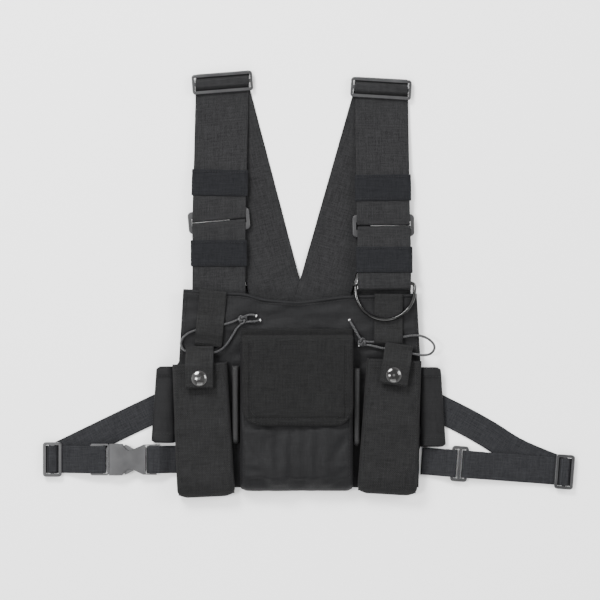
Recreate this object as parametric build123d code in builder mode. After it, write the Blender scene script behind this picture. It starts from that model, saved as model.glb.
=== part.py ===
from build123d import *
from math import atan, cos, degrees, radians, sin, tan
import os

os.makedirs("parts", exist_ok=True)

# A two-way-radio chest harness, laid flat on a table with its pack facing up.
# Millimetres. X runs across the wearer, +Y towards the shoulders, +Z up from the table.
# The origin is the centre of the yoke patch's underside, where all back straps meet.

# ---- driving dimensions ----
SHOULDER_WIDTH = 50.0      # shoulder webbing
WAIST_WIDTH = 26.0         # waist webbing
WEB = 1.5                  # thickness of all webbing
CLOTH = 1.5                # wall of a sewn pouch
PANEL = 4.0                # padded main panel
CORD = 2.3                 # elastic cord
LAYER_STEP = WEB + 0.15    # centre to centre of two webbing layers that lie on each other
TABLE_LAYER = WEB / 2      # centre height of webbing that lies on the table
PACK_LIFT = 6.6            # height of the pack's back over the origin: it lies on the crossed straps
PACK_SLOPE = 0.04          # the pack comes down to the table at its lower edge


# ---- frames and helpers ----
PACK_TILT = atan(PACK_SLOPE)
PACK = Plane(origin=(0, 0, PACK_LIFT), x_dir=(1, 0, 0), z_dir=(0, -sin(PACK_TILT), cos(PACK_TILT)))


def turned(plane, turn=0.0, pitch=0.0):
    """A plane turned about its own normal, then pitched about its new x axis (degrees)."""
    t, p = radians(turn), radians(pitch)
    x_dir = plane.x_dir * cos(t) + plane.y_dir * sin(t)
    y_dir = plane.z_dir.cross(x_dir)
    z_dir = plane.z_dir * cos(p) - y_dir * sin(p)
    return Plane(origin=plane.origin, x_dir=x_dir, z_dir=z_dir)


def pack_frame(across, up, out=0.0, turn=0.0, pitch=0.0):
    """A frame on the pack: turned in the panel's plane, then pitched about its own x axis."""
    origin = PACK.from_local_coords(Vector(across, up, out))
    return turned(Plane(origin=origin, x_dir=PACK.x_dir, z_dir=PACK.z_dir), turn, pitch)


def side_of(frame, across=0.0):
    """A frame's side view: x runs up the frame, y stands out of it."""
    origin = frame.from_local_coords(Vector(across, 0, 0))
    return Plane(origin=origin, x_dir=frame.y_dir, z_dir=frame.x_dir)


def run_plane(x, y, heading):
    """A strap's side view: x along its heading (degrees from +X), y up from the table."""
    a = radians(heading)
    return Plane(origin=(x, y, 0), x_dir=(cos(a), sin(a), 0), z_dir=(sin(a), -cos(a), 0))


def webbing(plane, points, radii, width, fold=None, thickness=WEB):
    """Adds a flat strap to the current part: a side profile of even thickness, taken across its width.

    fold is the plan direction (degrees from +X) of the strap's folds, where it isn't square to the strap.
    """
    with BuildSketch(plane) as profile:
        with BuildLine():
            FilletPolyline(*points, radius=radii)
        trace(line_width=thickness)
    across = plane.z_dir
    reach = width / 2
    if fold is not None:
        across = Vector(cos(radians(fold)), sin(radians(fold)), 0)
        reach = reach / abs(across.dot(plane.z_dir))
    extrude(profile.sketch, amount=reach, dir=across, both=True)


def polygon(plane, points):
    """A closed flat outline on a plane."""
    with BuildSketch(plane) as outline:
        with BuildLine():
            Polyline(*points, close=True)
        make_face()
    return outline.sketch


def save(piece, label):
    """Labels a finished piece and writes it."""
    piece.part.label = label
    export_step(piece.part, f"parts/{label}.step")


# ---- yoke ----
YOKE_WIDTH = 116.0
YOKE_HEIGHT = 88.0
YOKE = 1.5                 # thickness

with BuildPart() as yoke_patch:
    with BuildSketch(Plane.XY):
        RectangleRounded(YOKE_WIDTH, YOKE_HEIGHT, 14)
    extrude(amount=YOKE)
save(yoke_patch, "yoke_patch")


# ---- shoulder sliders, middle rings and webbing ----
BAR_Z = 3.6                # underside of a top slider
BAR_THICK = 2.6
RING_Z = 4.9               # underside of a middle ring
RING_THICK = 2.4
RING_BAR = 6.8             # width of the ring's wide bars
RING_FRONT = RING_Z + RING_THICK + 0.1 + WEB / 2
RING_BACK = RING_Z - 0.1 - WEB / 2
RING_LEVEL = 11.6          # the front layer stays level this far from the ring's centre
UNDER_BAR = 2.35           # centre height of the webbing that passes under a slider's bar


def three_bar_slider(label, x, y, angle, length, height, outer_bar, centre_bar, side, z, thick):
    """A flat three-bar slider: a rounded plate with two slots."""
    slot = (height - 2 * outer_bar - centre_bar) / 2
    with BuildPart() as slider:
        with BuildSketch(turned(Plane(origin=(x, y, z)), angle)):
            RectangleRounded(length, height, 3.0)
            with Locations((0, (centre_bar + slot) / 2), (0, -(centre_bar + slot) / 2)):
                Rectangle(length - 2 * side, slot, mode=Mode.SUBTRACT)
        extrude(amount=thick)
        rim = slider.faces().sort_by(Axis.Z)[-1].outer_wire().edges()
        fillet(rim, 0.8)
    save(slider, label)


def middle_ring(label, x, y, angle):
    """A rectangular ring with wide bars, which joins the upper and lower shoulder straps."""
    with BuildPart() as ring:
        with BuildSketch(turned(Plane(origin=(x, y, RING_Z)), angle)):
            RectangleRounded(58.8, 21.0, 4.0)
            Rectangle(52.0, 21.0 - 2 * RING_BAR, mode=Mode.SUBTRACT)
        extrude(amount=RING_THICK)
        rim = ring.faces().sort_by(Axis.Z)[-1].outer_wire().edges()
        fillet(rim, 0.7)
    save(ring, label)


def front_slope(run):
    """Fall per millimetre of a shoulder strap's front layer, from its ring to its slider."""
    return (RING_FRONT - UNDER_BAR) / (run - 13 - RING_LEVEL)


def front_height(s, run):
    """Centre height of a shoulder strap's front layer, s above the ring, where the slider is at run."""
    return RING_FRONT - max(s - RING_LEVEL, 0) * front_slope(run)


def shoulder_strap(label, ring, heading, run, folds, back, back_heading, back_run, yoke_run, rise, level):
    """One length of webbing: yoke, slider, down the front, round the ring and back up behind itself.

    ring is the ring's centre, run the distance from it to the slider, and folds the plan directions of
    the ring's and the slider's bars. back is a point on the back run, which climbs to level at the yoke.
    """
    front = run_plane(ring[0], ring[1], heading)
    shared = (60.0, 80.0)
    ring_end = [
        (shared[1], front_height(shared[1], run)),
        (RING_LEVEL, RING_FRONT),
        (2.75, RING_FRONT),
        (2.75, RING_BACK),
        (10.9, RING_BACK),
        (20.4, front_height(20.4, run) - LAYER_STEP),
        (62.0, front_height(62.0, run) - LAYER_STEP),
    ]
    slider_end = [
        (shared[0], front_height(shared[0], run)),
        (run - 13.0, UNDER_BAR),
        (run - 5.6, UNDER_BAR),
        (run - 2.8, 7.0),
        (run + 2.8, 7.0),
        (run + 5.7, UNDER_BAR + 0.1),
        (run + 9.4, UNDER_BAR + 0.1),
        (run + 9.4, TABLE_LAYER),
        (run - 21.6, TABLE_LAYER),
    ]
    back_side = [
        (-back_run, TABLE_LAYER),
        (-rise, TABLE_LAYER),
        (-12.0, level),
        (yoke_run, level),
    ]
    with BuildPart() as strap:
        webbing(front, ring_end, [8, 0.9, 0.9, 4, 4], SHOULDER_WIDTH, folds[0])
        webbing(front, slider_end, [20, 1.6, 1.2, 1.2, 1.2, 0.82, 0.82], SHOULDER_WIDTH, folds[1])
        webbing(run_plane(back[0], back[1], back_heading), back_side, [30, 30], SHOULDER_WIDTH)
    save(strap, label)


LEFT_RING = (-77.2, 104.0)
LEFT_RUN = 131.6
LEFT_HEADING = 88.6
RIGHT_RING = (79.4, 99.3)
RIGHT_RUN = 130.7
RIGHT_HEADING = 90.8

three_bar_slider("left_top_slider", -74.0, 235.6, 4.5, 58.0, 19.0, 3.0, 3.2, 2.4, BAR_Z, BAR_THICK)
three_bar_slider("right_top_slider", 77.2, 230.0, -3.5, 58.0, 19.0, 3.0, 3.2, 2.4, BAR_Z, BAR_THICK)
middle_ring("left_middle_ring", LEFT_RING[0], LEFT_RING[1], 5.0)
middle_ring("right_middle_ring", RIGHT_RING[0], RIGHT_RING[1], 1.0)

shoulder_strap(
    "left_shoulder_strap", LEFT_RING, LEFT_HEADING, LEFT_RUN, (5.0, 4.5),
    (-24.2, 40.3), -75.3, 200.0, 78.0, 38.0, YOKE + WEB / 2,
)
shoulder_strap(
    "right_shoulder_strap", RIGHT_RING, RIGHT_HEADING, RIGHT_RUN, (1.0, -3.5),
    (24.0, 39.8), -105.9, 197.0, 77.0, 50.0, YOKE + 1.5 * WEB,
)

# The lower straps run from the back of the panel's top edge to the rings. The right one also passes over
# the D-ring's straight bar, at the level of the panel's front.
D_BAR_UP = 44.6            # the D-ring's straight bar, up the panel
D_BAR_OUT = 5.6            # and out from the panel's back
D_WIRE = 3.3
D_BAR_Z = PACK_LIFT + PACK_SLOPE * D_BAR_UP + D_BAR_OUT
BAR_CLEARANCE = 0.3


def under_panel(y):
    """Centre height of webbing that lies against the panel's back."""
    return PACK_LIFT + PACK_SLOPE * y - WEB / 2 - 0.1


LEFT_LOWER_SLOPE = (RING_FRONT - under_panel(38)) / 63.25
left_lower_side = [
    (-90.0, under_panel(14)),
    (-66.0, under_panel(38)),
    (-2.75, RING_FRONT),
    (-2.75, RING_BACK),
    (-10.9, RING_BACK),
    (-15.2, RING_FRONT - 12.45 * LEFT_LOWER_SLOPE - LAYER_STEP),
    (-42.0, RING_FRONT - 39.25 * LEFT_LOWER_SLOPE - LAYER_STEP),
]
with BuildPart() as left_lower_strap:
    webbing(run_plane(LEFT_RING[0], LEFT_RING[1], 90), left_lower_side, [20, 0.9, 0.9, 2, 2],
            SHOULDER_WIDTH, 5.0)
save(left_lower_strap, "left_lower_strap")

D_BAR_RUN = D_BAR_UP - RIGHT_RING[1]
RIGHT_LOWER_X = 80.0
HUMP_Z = D_BAR_Z + D_WIRE / 2 + BAR_CLEARANCE + WEB / 2
RIGHT_LOWER_SLOPE = (HUMP_Z - RING_FRONT) / (-D_BAR_RUN - 2.0 - 2.75)


def right_lower_height(s):
    """Centre height of the right lower strap's front layer, s along it from the ring."""
    return RING_FRONT - (s + 2.75) * RIGHT_LOWER_SLOPE


right_lower_side = [
    (-87.0, under_panel(12.3)),
    (D_BAR_RUN - 6.4, under_panel(38.2)),
    (D_BAR_RUN - 4.8, HUMP_Z),
    (D_BAR_RUN + 2.0, HUMP_Z),
    (-2.75, RING_FRONT),
    (-2.75, RING_BACK),
    (-11.4, RING_BACK),
    (-19.4, right_lower_height(-19.4) - LAYER_STEP),
    (-40.0, right_lower_height(-40.0) - LAYER_STEP),
]
with BuildPart() as right_lower_strap:
    webbing(run_plane(RIGHT_LOWER_X, RIGHT_RING[1], 90), right_lower_side, [1.2, 1.6, 6, 0.9, 0.9, 2, 2],
            SHOULDER_WIDTH, 1.0)
save(right_lower_strap, "right_lower_strap")

patch_z = D_BAR_Z - D_WIRE / 2 - BAR_CLEARANCE - WEB / 2
patch_side = [
    (D_BAR_RUN + 4.2, patch_z),
    (D_BAR_RUN - 2.8, patch_z),
    (D_BAR_RUN - 2.8, patch_z + 3.4),
]
with BuildPart() as d_ring_patch:
    webbing(run_plane(RIGHT_LOWER_X, RIGHT_RING[1], 90), patch_side, [1.0], SHOULDER_WIDTH - 2)
save(d_ring_patch, "d_ring_patch")

# The D-ring turns on its straight bar and lies against the right retention strip.
D_HALF = 28.0              # half the ring's width, to the middle of its wire
D_SIDE = 6.5               # straight side below the bar
D_CORNER = 3.0
D_FRAME = pack_frame(80.75, D_BAR_UP, D_BAR_OUT, 0, -3.6)

with BuildPart() as d_ring:
    with BuildLine(D_FRAME) as d_path:
        Line((0, 0), (D_HALF - D_CORNER, 0))
        RadiusArc((D_HALF - D_CORNER, 0), (D_HALF, -D_CORNER), D_CORNER)
        Line((D_HALF, -D_CORNER), (D_HALF, -D_SIDE))
        CenterArc((0, -D_SIDE), D_HALF, 0, -180)
        Line((-D_HALF, -D_SIDE), (-D_HALF, -D_CORNER))
        RadiusArc((-D_HALF, -D_CORNER), (-D_HALF + D_CORNER, 0), D_CORNER)
        Line((-D_HALF + D_CORNER, 0), (0, 0))
    with BuildSketch(Plane(origin=D_FRAME.origin, z_dir=D_FRAME.x_dir)):
        Circle(D_WIRE / 2)
    sweep(path=d_path.line)
save(d_ring, "d_ring")


# ---- keepers ----
KEEPER_LENGTH = 25.0
KEEPER_WALL = 0.8
KEEPER_GAP = 0.3


def keeper(label, x, y, heading, centre, height, slope):
    """An elastic band round a strap's two layers, square to them and free to slide along them.

    centre is the distance along the strap, height that of its front layer there.
    """
    pitch = -degrees(atan(slope))
    plane = run_plane(x, y, heading)
    middle = plane.from_local_coords(Vector(centre, height - LAYER_STEP / 2, 0))
    tilted = turned(Plane(origin=middle, x_dir=plane.x_dir, z_dir=plane.z_dir), pitch)
    section = Plane(origin=middle, x_dir=tilted.z_dir, z_dir=tilted.x_dir)
    inner_width = SHOULDER_WIDTH + 2 * KEEPER_GAP
    inner_height = LAYER_STEP + WEB + 2 * KEEPER_GAP
    with BuildPart() as band:
        with BuildSketch(section):
            RectangleRounded(inner_width + 2 * KEEPER_WALL, inner_height + 2 * KEEPER_WALL, 1.4)
            RectangleRounded(inner_width, inner_height, 0.6, mode=Mode.SUBTRACT)
        extrude(amount=KEEPER_LENGTH / 2, both=True)
    save(band, label)
    print(f"{label} slides along", tilted.x_dir)


keeper("left_upper_keeper", *LEFT_RING, LEFT_HEADING, 36.0, front_height(36.0, LEFT_RUN),
       front_slope(LEFT_RUN))
keeper("right_upper_keeper", *RIGHT_RING, RIGHT_HEADING, 36.0, front_height(36.0, RIGHT_RUN),
       front_slope(RIGHT_RUN))
keeper("left_lower_keeper", *LEFT_RING, 90, -31.0, RING_FRONT - 28.25 * LEFT_LOWER_SLOPE, -LEFT_LOWER_SLOPE)
keeper("right_lower_keeper", RIGHT_LOWER_X, RIGHT_RING[1], 90, -32.7, right_lower_height(-32.7),
       RIGHT_LOWER_SLOPE)


# ---- waist webbing ----
SLIDER_Z = 3.3             # underside of an end slider
SLIDER_THICK = 2.4
OVER_BAR = SLIDER_Z + SLIDER_THICK + 0.1 + WEB / 2
ADJUSTER_Z = 2.5
ADJUSTER_THICK = 2.4
ADJUSTER_ABOVE = ADJUSTER_Z + ADJUSTER_THICK + 0.1 + WEB / 2
ADJUSTER_BELOW = ADJUSTER_Z - 0.1 - WEB / 2
BUCKLE_Z = 5.7             # middle height of the buckle
BUCKLE_BAR = 3.6           # thickness of the buckle's strap bars
BUCKLE_ABOVE = BUCKLE_Z + BUCKLE_BAR / 2 + 0.1 + WEB / 2
BUCKLE_BELOW = BUCKLE_Z - BUCKLE_BAR / 2 - 0.1 - WEB / 2

LEFT_END = (-236.0, -123.4)
RIGHT_END = (252.0, -135.3)
RIGHT_SLOPE_ANGLE = -4.4
ADJUSTER = (152.0, -127.6)

# the part of a waist strap that weaves through its end slider, s from the slider's centre
end_slider_side = [
    (-12.0, UNDER_BAR),
    (-5.2, UNDER_BAR),
    (-2.9, OVER_BAR),
    (2.9, OVER_BAR),
    (5.2, UNDER_BAR + 0.1),
    (8.6, UNDER_BAR + 0.1),
    (8.6, TABLE_LAYER),
    (-20.0, TABLE_LAYER),
]
end_slider_radii = [1.6, 1.2, 1.2, 1.2, 0.82, 0.82]
left_front_side = [
    (-28.0, BUCKLE_BELOW),
    (-50.5, BUCKLE_BELOW),
    (-50.5, BUCKLE_ABOVE),
    (-33.5, BUCKLE_ABOVE),
]
right_front_side = [
    (-78.0, ADJUSTER_BELOW),
    (-97.2, ADJUSTER_BELOW),
    (-97.2, ADJUSTER_ABOVE),
    (-90.0, ADJUSTER_ABOVE),
]


def waist_strap(label, plane, front_side, centreline):
    """One length of webbing: from the yoke, flat on the table to the end slider, through it and forward."""
    side = 1 if centreline[0][0] > 0 else -1
    with BuildPart() as strap:
        with BuildSketch(Plane.XY) as ribbon:
            with BuildLine():
                Spline(*centreline)
            trace(line_width=WAIST_WIDTH)
        extrude(amount=10)
        slab = polygon(Plane.XZ, [
            (side * 10, YOKE), (side * 60, YOKE), (side * 95, 0), (side * 270, 0),
            (side * 270, WEB), (side * 95, WEB), (side * 60, YOKE + WEB), (side * 10, YOKE + WEB),
        ])
        extrude(slab, amount=200, both=True, mode=Mode.INTERSECT)
        webbing(plane, front_side + end_slider_side, [1.3, 1.3, 8, 8] + end_slider_radii, WAIST_WIDTH)
    save(strap, label)


waist_strap(
    "left_waist_strap", run_plane(*LEFT_END, 180), left_front_side,
    [(-37, -28.5), (-141.0, -76.8), (-234.0, -121.6)],
)
waist_strap(
    "right_waist_strap", run_plane(*RIGHT_END, RIGHT_SLOPE_ANGLE), right_front_side,
    [(37, -29.0), (137.8, -77.3), (176.7, -97.9), (207.0, -116.5), (249.0, -134.2)],
)

three_bar_slider("left_end_slider", *LEFT_END, 90, 33.0, 18.0, 2.9, 3.4, 2.8, SLIDER_Z, SLIDER_THICK)
three_bar_slider("right_end_slider", *RIGHT_END, 90 + RIGHT_SLOPE_ANGLE, 33.0, 18.0, 2.9, 3.4, 2.8,
                 SLIDER_Z, SLIDER_THICK)
three_bar_slider("right_adjuster", *ADJUSTER, 90 + RIGHT_SLOPE_ANGLE, 34.0, 16.0, 2.6, 2.4, 3.0,
                 ADJUSTER_Z, ADJUSTER_THICK)

# The pack's own webbing starts at the panel's side edges.
with BuildPart() as left_pack_webbing:
    webbing(
        run_plane(-121.0, LEFT_END[1], 180),
        [(-4.7, 3.3), (2.5, 3.3), (13.0, BUCKLE_ABOVE), (24.3, BUCKLE_ABOVE), (24.3, BUCKLE_BELOW),
         (13.5, BUCKLE_BELOW)],
        [3, 3, 1.3, 1.3], WAIST_WIDTH,
    )
save(left_pack_webbing, "left_pack_webbing")

with BuildPart() as right_pack_webbing:
    webbing(
        run_plane(*ADJUSTER, RIGHT_SLOPE_ANGLE),
        [(-36.5, 3.3), (-28.0, 3.3), (-13.0, ADJUSTER_ABOVE), (-3.3, ADJUSTER_ABOVE),
         (-3.3, ADJUSTER_BELOW), (-14.0, ADJUSTER_BELOW)],
        [6, 6, 1.3, 1.3], WAIST_WIDTH,
    )
save(right_pack_webbing, "right_pack_webbing")


# ---- side-release buckle ----
MOUTH_X = -181.7           # the socket's mouth
BUCKLE_Y = LEFT_END[1]
BUCKLE_HALF = 15.0         # half the buckle's width
SHELL_HALF = 4.0           # half the socket's thickness
CAVITY_HALF = 2.7
CAVITY_SIDE = 13.2
WAIST_HALF = 8.9           # half width at the socket's waist
PRONG_HALF = 2.3           # half the prongs' thickness
PRONG_PIVOT = (2.0, 10.4)  # into the socket and off its middle line

BUCKLE = Plane(origin=(MOUTH_X, BUCKLE_Y, BUCKLE_Z))


def mirrored(points):
    """Upper outline points, left to right, closed by their mirror image."""
    return points + [(x, -y) for x, y in reversed(points)]


socket_outline = [
    (0, BUCKLE_HALF), (12.6, BUCKLE_HALF), (14.2, 13.2), (16.6, 10.2), (19.3, WAIST_HALF),
    (23.2, 9.8), (28.6, 12.4), (32.4, 14.2), (45.2, 14.6),
]
with BuildPart() as buckle_socket:
    with BuildSketch(BUCKLE.offset(-SHELL_HALF)):
        with BuildLine():
            Polyline(*mirrored(socket_outline), close=True)
        make_face()
    extrude(amount=2 * SHELL_HALF)
    chamfer(buckle_socket.edges().filter_by(Axis.Z, reverse=True), 0.7)
    # the tail that holds the pack's webbing is thinner, with a slot in it
    for level in (BUCKLE_BAR / 2, -BUCKLE_BAR / 2 - 4):
        with BuildSketch(BUCKLE.offset(level)):
            with Locations((41, 0)):
                Rectangle(12.6, 40)
        extrude(amount=4, mode=Mode.SUBTRACT)
    with BuildSketch(BUCKLE.offset(-SHELL_HALF)):
        with Locations((36.4, 0)):
            Rectangle(3.6, WAIST_WIDTH + 1)
    extrude(amount=2 * SHELL_HALF, mode=Mode.SUBTRACT)
    # the latch chamber, open at the mouth and at the waist
    with BuildSketch(BUCKLE.offset(-CAVITY_HALF)):
        with Locations((13.5, 0)):
            Rectangle(29.0, 2 * CAVITY_SIDE)
    extrude(amount=2 * CAVITY_HALF, mode=Mode.SUBTRACT)
save(buckle_socket, "buckle_socket")

with BuildPart() as buckle_plug:
    with BuildSketch(BUCKLE.offset(-BUCKLE_BAR / 2)):
        with Locations((-9.1, 0)):
            RectangleRounded(17.6, 2 * BUCKLE_HALF, 2.0)
        with Locations((-3.7, 0)):
            Rectangle(4.4, WAIST_WIDTH + 1, mode=Mode.SUBTRACT)
        with Locations((-0.9, 10.4), (-0.9, -10.4)):
            Rectangle(2.2, 3.0)
        # guide tongue between the prongs
        with BuildLine():
            Polyline((-1.5, 3.4), (20.0, 3.4), (23.0, 1.8), (23.0, -1.8), (20.0, -3.4), (-1.5, -3.4), close=True)
        make_face()
    extrude(amount=BUCKLE_BAR)
save(buckle_plug, "buckle_plug")


def latch_prong(label, side):
    """A latch prong: its arm starts at the plug's base and its head shows in the socket's side opening."""
    outline = [
        (2.0, 8.9), (12.0, 8.6), (18.0, 6.2), (24.2, 6.4), (26.2, 8.0), (22.8, 10.6), (18.8, 12.9),
        (16.6, 13.9), (14.9, 14.1), (14.6, 12.1), (2.0, 11.9),
    ]
    with BuildPart() as prong:
        with BuildSketch(BUCKLE.offset(-PRONG_HALF)):
            with BuildLine():
                Polyline(*[(x, side * y) for x, y in outline], close=True)
            make_face()
            with Locations((PRONG_PIVOT[0], side * PRONG_PIVOT[1])):
                Circle(1.5)
        extrude(amount=2 * PRONG_HALF)
    save(prong, label)


latch_prong("buckle_upper_prong", 1)
latch_prong("buckle_lower_prong", -1)


# ---- main panel ----
top_edge = [
    (-110.8, 38.0), (-69.4, 35.4), (-52.3, 34.0), (-36.0, 29.6), (-19.0, 27.6), (0.0, 26.6),
    (26.6, 30.0), (43.4, 31.8), (75.0, 32.8), (111.0, 33.6),
]
panel_sides = [
    (114.7, -30.0), (115.4, -36.0), (115.4, -111.0), (113.7, -114.0), (113.0, -150.0),
    (-115.4, -150.0), (-116.0, -109.2), (-120.9, -107.6), (-120.9, -36.0), (-115.0, -33.0), (-110.8, 38.0),
]
BINDING = 2.4              # width of the edge binding seen from the front

with BuildPart() as main_panel:
    with BuildSketch(PACK):
        with BuildLine():
            panel_top = Spline(*top_edge)
            Polyline(panel_top @ 1, *panel_sides)
        make_face()
    extrude(amount=PANEL)
    with BuildSketch(PACK.offset(-1)) as edge_band:
        with BuildLine():
            Spline(*top_edge)
        trace(line_width=BINDING)
    extrude(amount=PANEL + 2, mode=Mode.SUBTRACT)
save(main_panel, "main_panel")

with BuildPart() as panel_binding:
    with BuildSketch(PACK):
        with BuildLine():
            Spline(*top_edge)
        trace(line_width=BINDING)
    extrude(amount=PANEL + 0.3)
save(panel_binding, "panel_binding")


# ---- pouches ----
def pouch_shell(frame, top_width, bottom_width, length, corner, side_points):
    """Adds a sewn pouch to the current part, open at its top: plan outline and side profile, hollowed."""
    with BuildSketch(frame) as plan:
        with BuildLine():
            Polyline(
                (top_width / 2, 0), (bottom_width / 2, -length), (-bottom_width / 2, -length),
                (-top_width / 2, 0), close=True,
            )
        make_face()
        fillet(plan.vertices().group_by(SortBy.DISTANCE)[-1], corner)
    extrude(plan.sketch, amount=60)
    extrude(polygon(side_of(frame), side_points), amount=bottom_width, both=True, mode=Mode.INTERSECT)
    front = side_points[1:-2]
    inner = [(4, PANEL + CLOTH), (4, front[0][1] - CLOTH)]
    inner += [(b, w - CLOTH) for b, w in front[:-1]]
    inner += [(-length + CLOTH, front[-1][1]), (-length + CLOTH, PANEL + CLOTH)]
    extrude(polygon(side_of(frame), inner), amount=top_width / 2 - CLOTH, both=True, mode=Mode.SUBTRACT)


POCKET_TOP = -12.0
POCKET_LENGTH = 140.8
POCKET_FRONT = (13.0, 20.0, 83.0)      # depth at the mouth, depth lower down, and the distance between
pocket_slope = (POCKET_FRONT[1] - POCKET_FRONT[0]) / POCKET_FRONT[2]

with BuildPart() as centre_pocket:
    pouch_shell(pack_frame(-3.2, POCKET_TOP), 106.8, 106.8, POCKET_LENGTH, 6.0, [
        (0, PANEL), (0, POCKET_FRONT[0]), (-POCKET_FRONT[2], POCKET_FRONT[1]), (-122, 22), (-135, 18),
        (-POCKET_LENGTH, 11), (-POCKET_LENGTH, PANEL),
    ])
save(centre_pocket, "centre_pocket")

RIM = 14.0                 # depth of a radio pouch at its mouth, out from the panel's back
BELLY = 19.0               # and 60 mm lower
pouch_slope = (BELLY - RIM) / 60.0


def radio_pouch_side(length):
    """Side profile of a radio pouch."""
    return [
        (0, PANEL), (0, RIM), (-60, BELLY), (-length + 19, 20.5), (-length + 6, 17), (-length, 10),
        (-length, PANEL),
    ]


def face_hole(frame, radius, depth):
    """Cuts a round hole inward from a frame's origin."""
    with BuildSketch(frame.offset(-depth / 2)) as hole:
        Circle(radius)
    extrude(hole.sketch, amount=depth, mode=Mode.SUBTRACT)


SNAP_POST = 1.6
LEFT_SNAP = (-95.3, -44.9)
RIGHT_SNAP = (88.6, -41.8)
POUCH_PITCH = -degrees(atan(pouch_slope))


def pouch_front(snap, pouch_top):
    """Frame on a radio pouch's front, under a snap."""
    return pack_frame(*snap, RIM + (pouch_top - snap[1]) * pouch_slope, 0, POUCH_PITCH)


LEFT_POUCH = pack_frame(-95.2, -31.4, 0, 2.83)
RIGHT_POUCH = pack_frame(89.5, -28.0, 0, -3.08)
LEFT_STUD = pouch_front(LEFT_SNAP, -31.4)
RIGHT_STUD = pouch_front(RIGHT_SNAP, -28.0)

with BuildPart() as left_radio_pouch:
    pouch_shell(LEFT_POUCH, 51.6, 54.6, 127.3, 9.0, radio_pouch_side(127.3))
    face_hole(LEFT_STUD, SNAP_POST + 0.1, 5.0)
save(left_radio_pouch, "left_radio_pouch")

with BuildPart() as right_radio_pouch:
    pouch_shell(RIGHT_POUCH, 51.5, 56.5, 128.3, 9.0, radio_pouch_side(128.3))
    face_hole(RIGHT_STUD, SNAP_POST + 0.1, 5.0)
save(right_radio_pouch, "right_radio_pouch")

PEN_WIDTH = 6.6
PEN_DEPTH = 9.4
PEN_WALL = 0.7
PEN_LENGTH = 74.0


def pen_sleeve(label, across, up):
    """A narrow closed-bottom sleeve for a pen, open at its top."""
    frame = pack_frame(across, up, PANEL + 0.05)
    with BuildPart() as sleeve:
        with BuildSketch(frame) as plan:
            with Locations((0, -PEN_LENGTH / 2)):
                Rectangle(PEN_WIDTH, PEN_LENGTH)
            fillet(plan.vertices().group_by(SortBy.DISTANCE)[-1], 2.6)
        extrude(amount=PEN_DEPTH)
        with BuildSketch(frame.offset(PEN_WALL)):
            with Locations((0, -PEN_LENGTH / 2 + 2)):
                Rectangle(PEN_WIDTH - 2 * PEN_WALL, PEN_LENGTH)
        extrude(amount=PEN_DEPTH - 2 * PEN_WALL, mode=Mode.SUBTRACT)
    save(sleeve, label)


pen_sleeve("left_pen_sleeve", -61.3, -34.0)
pen_sleeve("right_pen_sleeve", 53.8, -36.0)


def side_sleeve(label, corners, inset):
    """A flat sleeve sewn to the panel's side edge, open at both ends."""
    with BuildPart() as sleeve:
        extrude(polygon(PACK.offset(-1.2), corners), amount=7.8)
        extrude(polygon(PACK.offset(-0.4), inset), amount=6.2, mode=Mode.SUBTRACT)
    save(sleeve, label)


side_sleeve(
    "left_side_sleeve",
    [(-121.4, -34.7), (-121.4, -107.3), (-141.8, -107.3), (-136.6, -34.7)],
    [(-122.3, -30.0), (-122.3, -112.0), (-141.2, -112.0), (-135.4, -30.0)],
)
side_sleeve(
    "right_side_sleeve",
    [(115.8, -35.5), (115.8, -111.0), (139.0, -111.0), (134.0, -35.5)],
    [(116.7, -31.0), (116.7, -116.0), (138.4, -116.0), (132.8, -31.0)],
)


# ---- flap ----
FLAP = 2.4
FLAP_OFFSET = 4.3          # middle of the flap off the pocket's front
FLAP_AXIS_UP = -7.0
FLAP_PITCH = -degrees(atan(pocket_slope))
flap_axis_out = POCKET_FRONT[0] - (FLAP_AXIS_UP - POCKET_TOP) * pocket_slope + FLAP_OFFSET / cos(atan(pocket_slope))
FLAP_FRAME = pack_frame(-2.2, FLAP_AXIS_UP, flap_axis_out, 0, FLAP_PITCH)
FLAP_WIDTH = 105.4
FLAP_LENGTH = 83.3
STRIP = (50.0, 16.0, 1.4)

with BuildPart() as centre_flap:
    with BuildSketch(FLAP_FRAME.offset(-FLAP / 2)) as flap_plan:
        with Locations((0, (1.2 - FLAP_LENGTH) / 2)):
            Rectangle(FLAP_WIDTH, FLAP_LENGTH + 1.2)
        fillet(flap_plan.vertices().group_by(SortBy.DISTANCE)[-1], 19)
    extrude(amount=FLAP)
save(centre_flap, "centre_flap")

with BuildPart() as flap_hook_strip:
    with BuildSketch(FLAP_FRAME.offset(-FLAP / 2 - STRIP[2])):
        with Locations((0, -68)):
            Rectangle(STRIP[0], STRIP[1])
    extrude(amount=STRIP[2])
save(flap_hook_strip, "flap_hook_strip")

with BuildPart() as pocket_loop_strip:
    with BuildSketch(FLAP_FRAME.offset(-FLAP_OFFSET)):
        with Locations((0, -68)):
            Rectangle(STRIP[0], STRIP[1])
    extrude(amount=STRIP[2])
save(pocket_loop_strip, "pocket_loop_strip")

with BuildPart() as flap_seam_tape:
    webbing(side_of(PACK, -2.0), [(3.0, PANEL + 0.65), (-3.2, PANEL + 0.65), (-4.7, flap_axis_out - 2.0)],
            [1.2], FLAP_WIDTH, thickness=1.2)
save(flap_seam_tape, "flap_seam_tape")


# ---- retention strips ----
STRIP_WIDTH = 26.0
FLAT = PANEL + 0.05 + WEB / 2          # centre of webbing that lies on the panel's front
OVER_CORD = PANEL + 0.15 + CORD + 0.4 + WEB / 2

with BuildPart() as left_retention_strip:
    webbing(
        side_of(pack_frame(-82.6, 34.0, 0, -5.5)),
        [(-0.5, FLAT), (-22.0, FLAT), (-25.5, OVER_CORD), (-38.5, OVER_CORD), (-42.0, FLAT), (-49.5, FLAT)],
        [3, 2, 2, 3], STRIP_WIDTH,
    )
save(left_retention_strip, "left_retention_strip")

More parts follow.
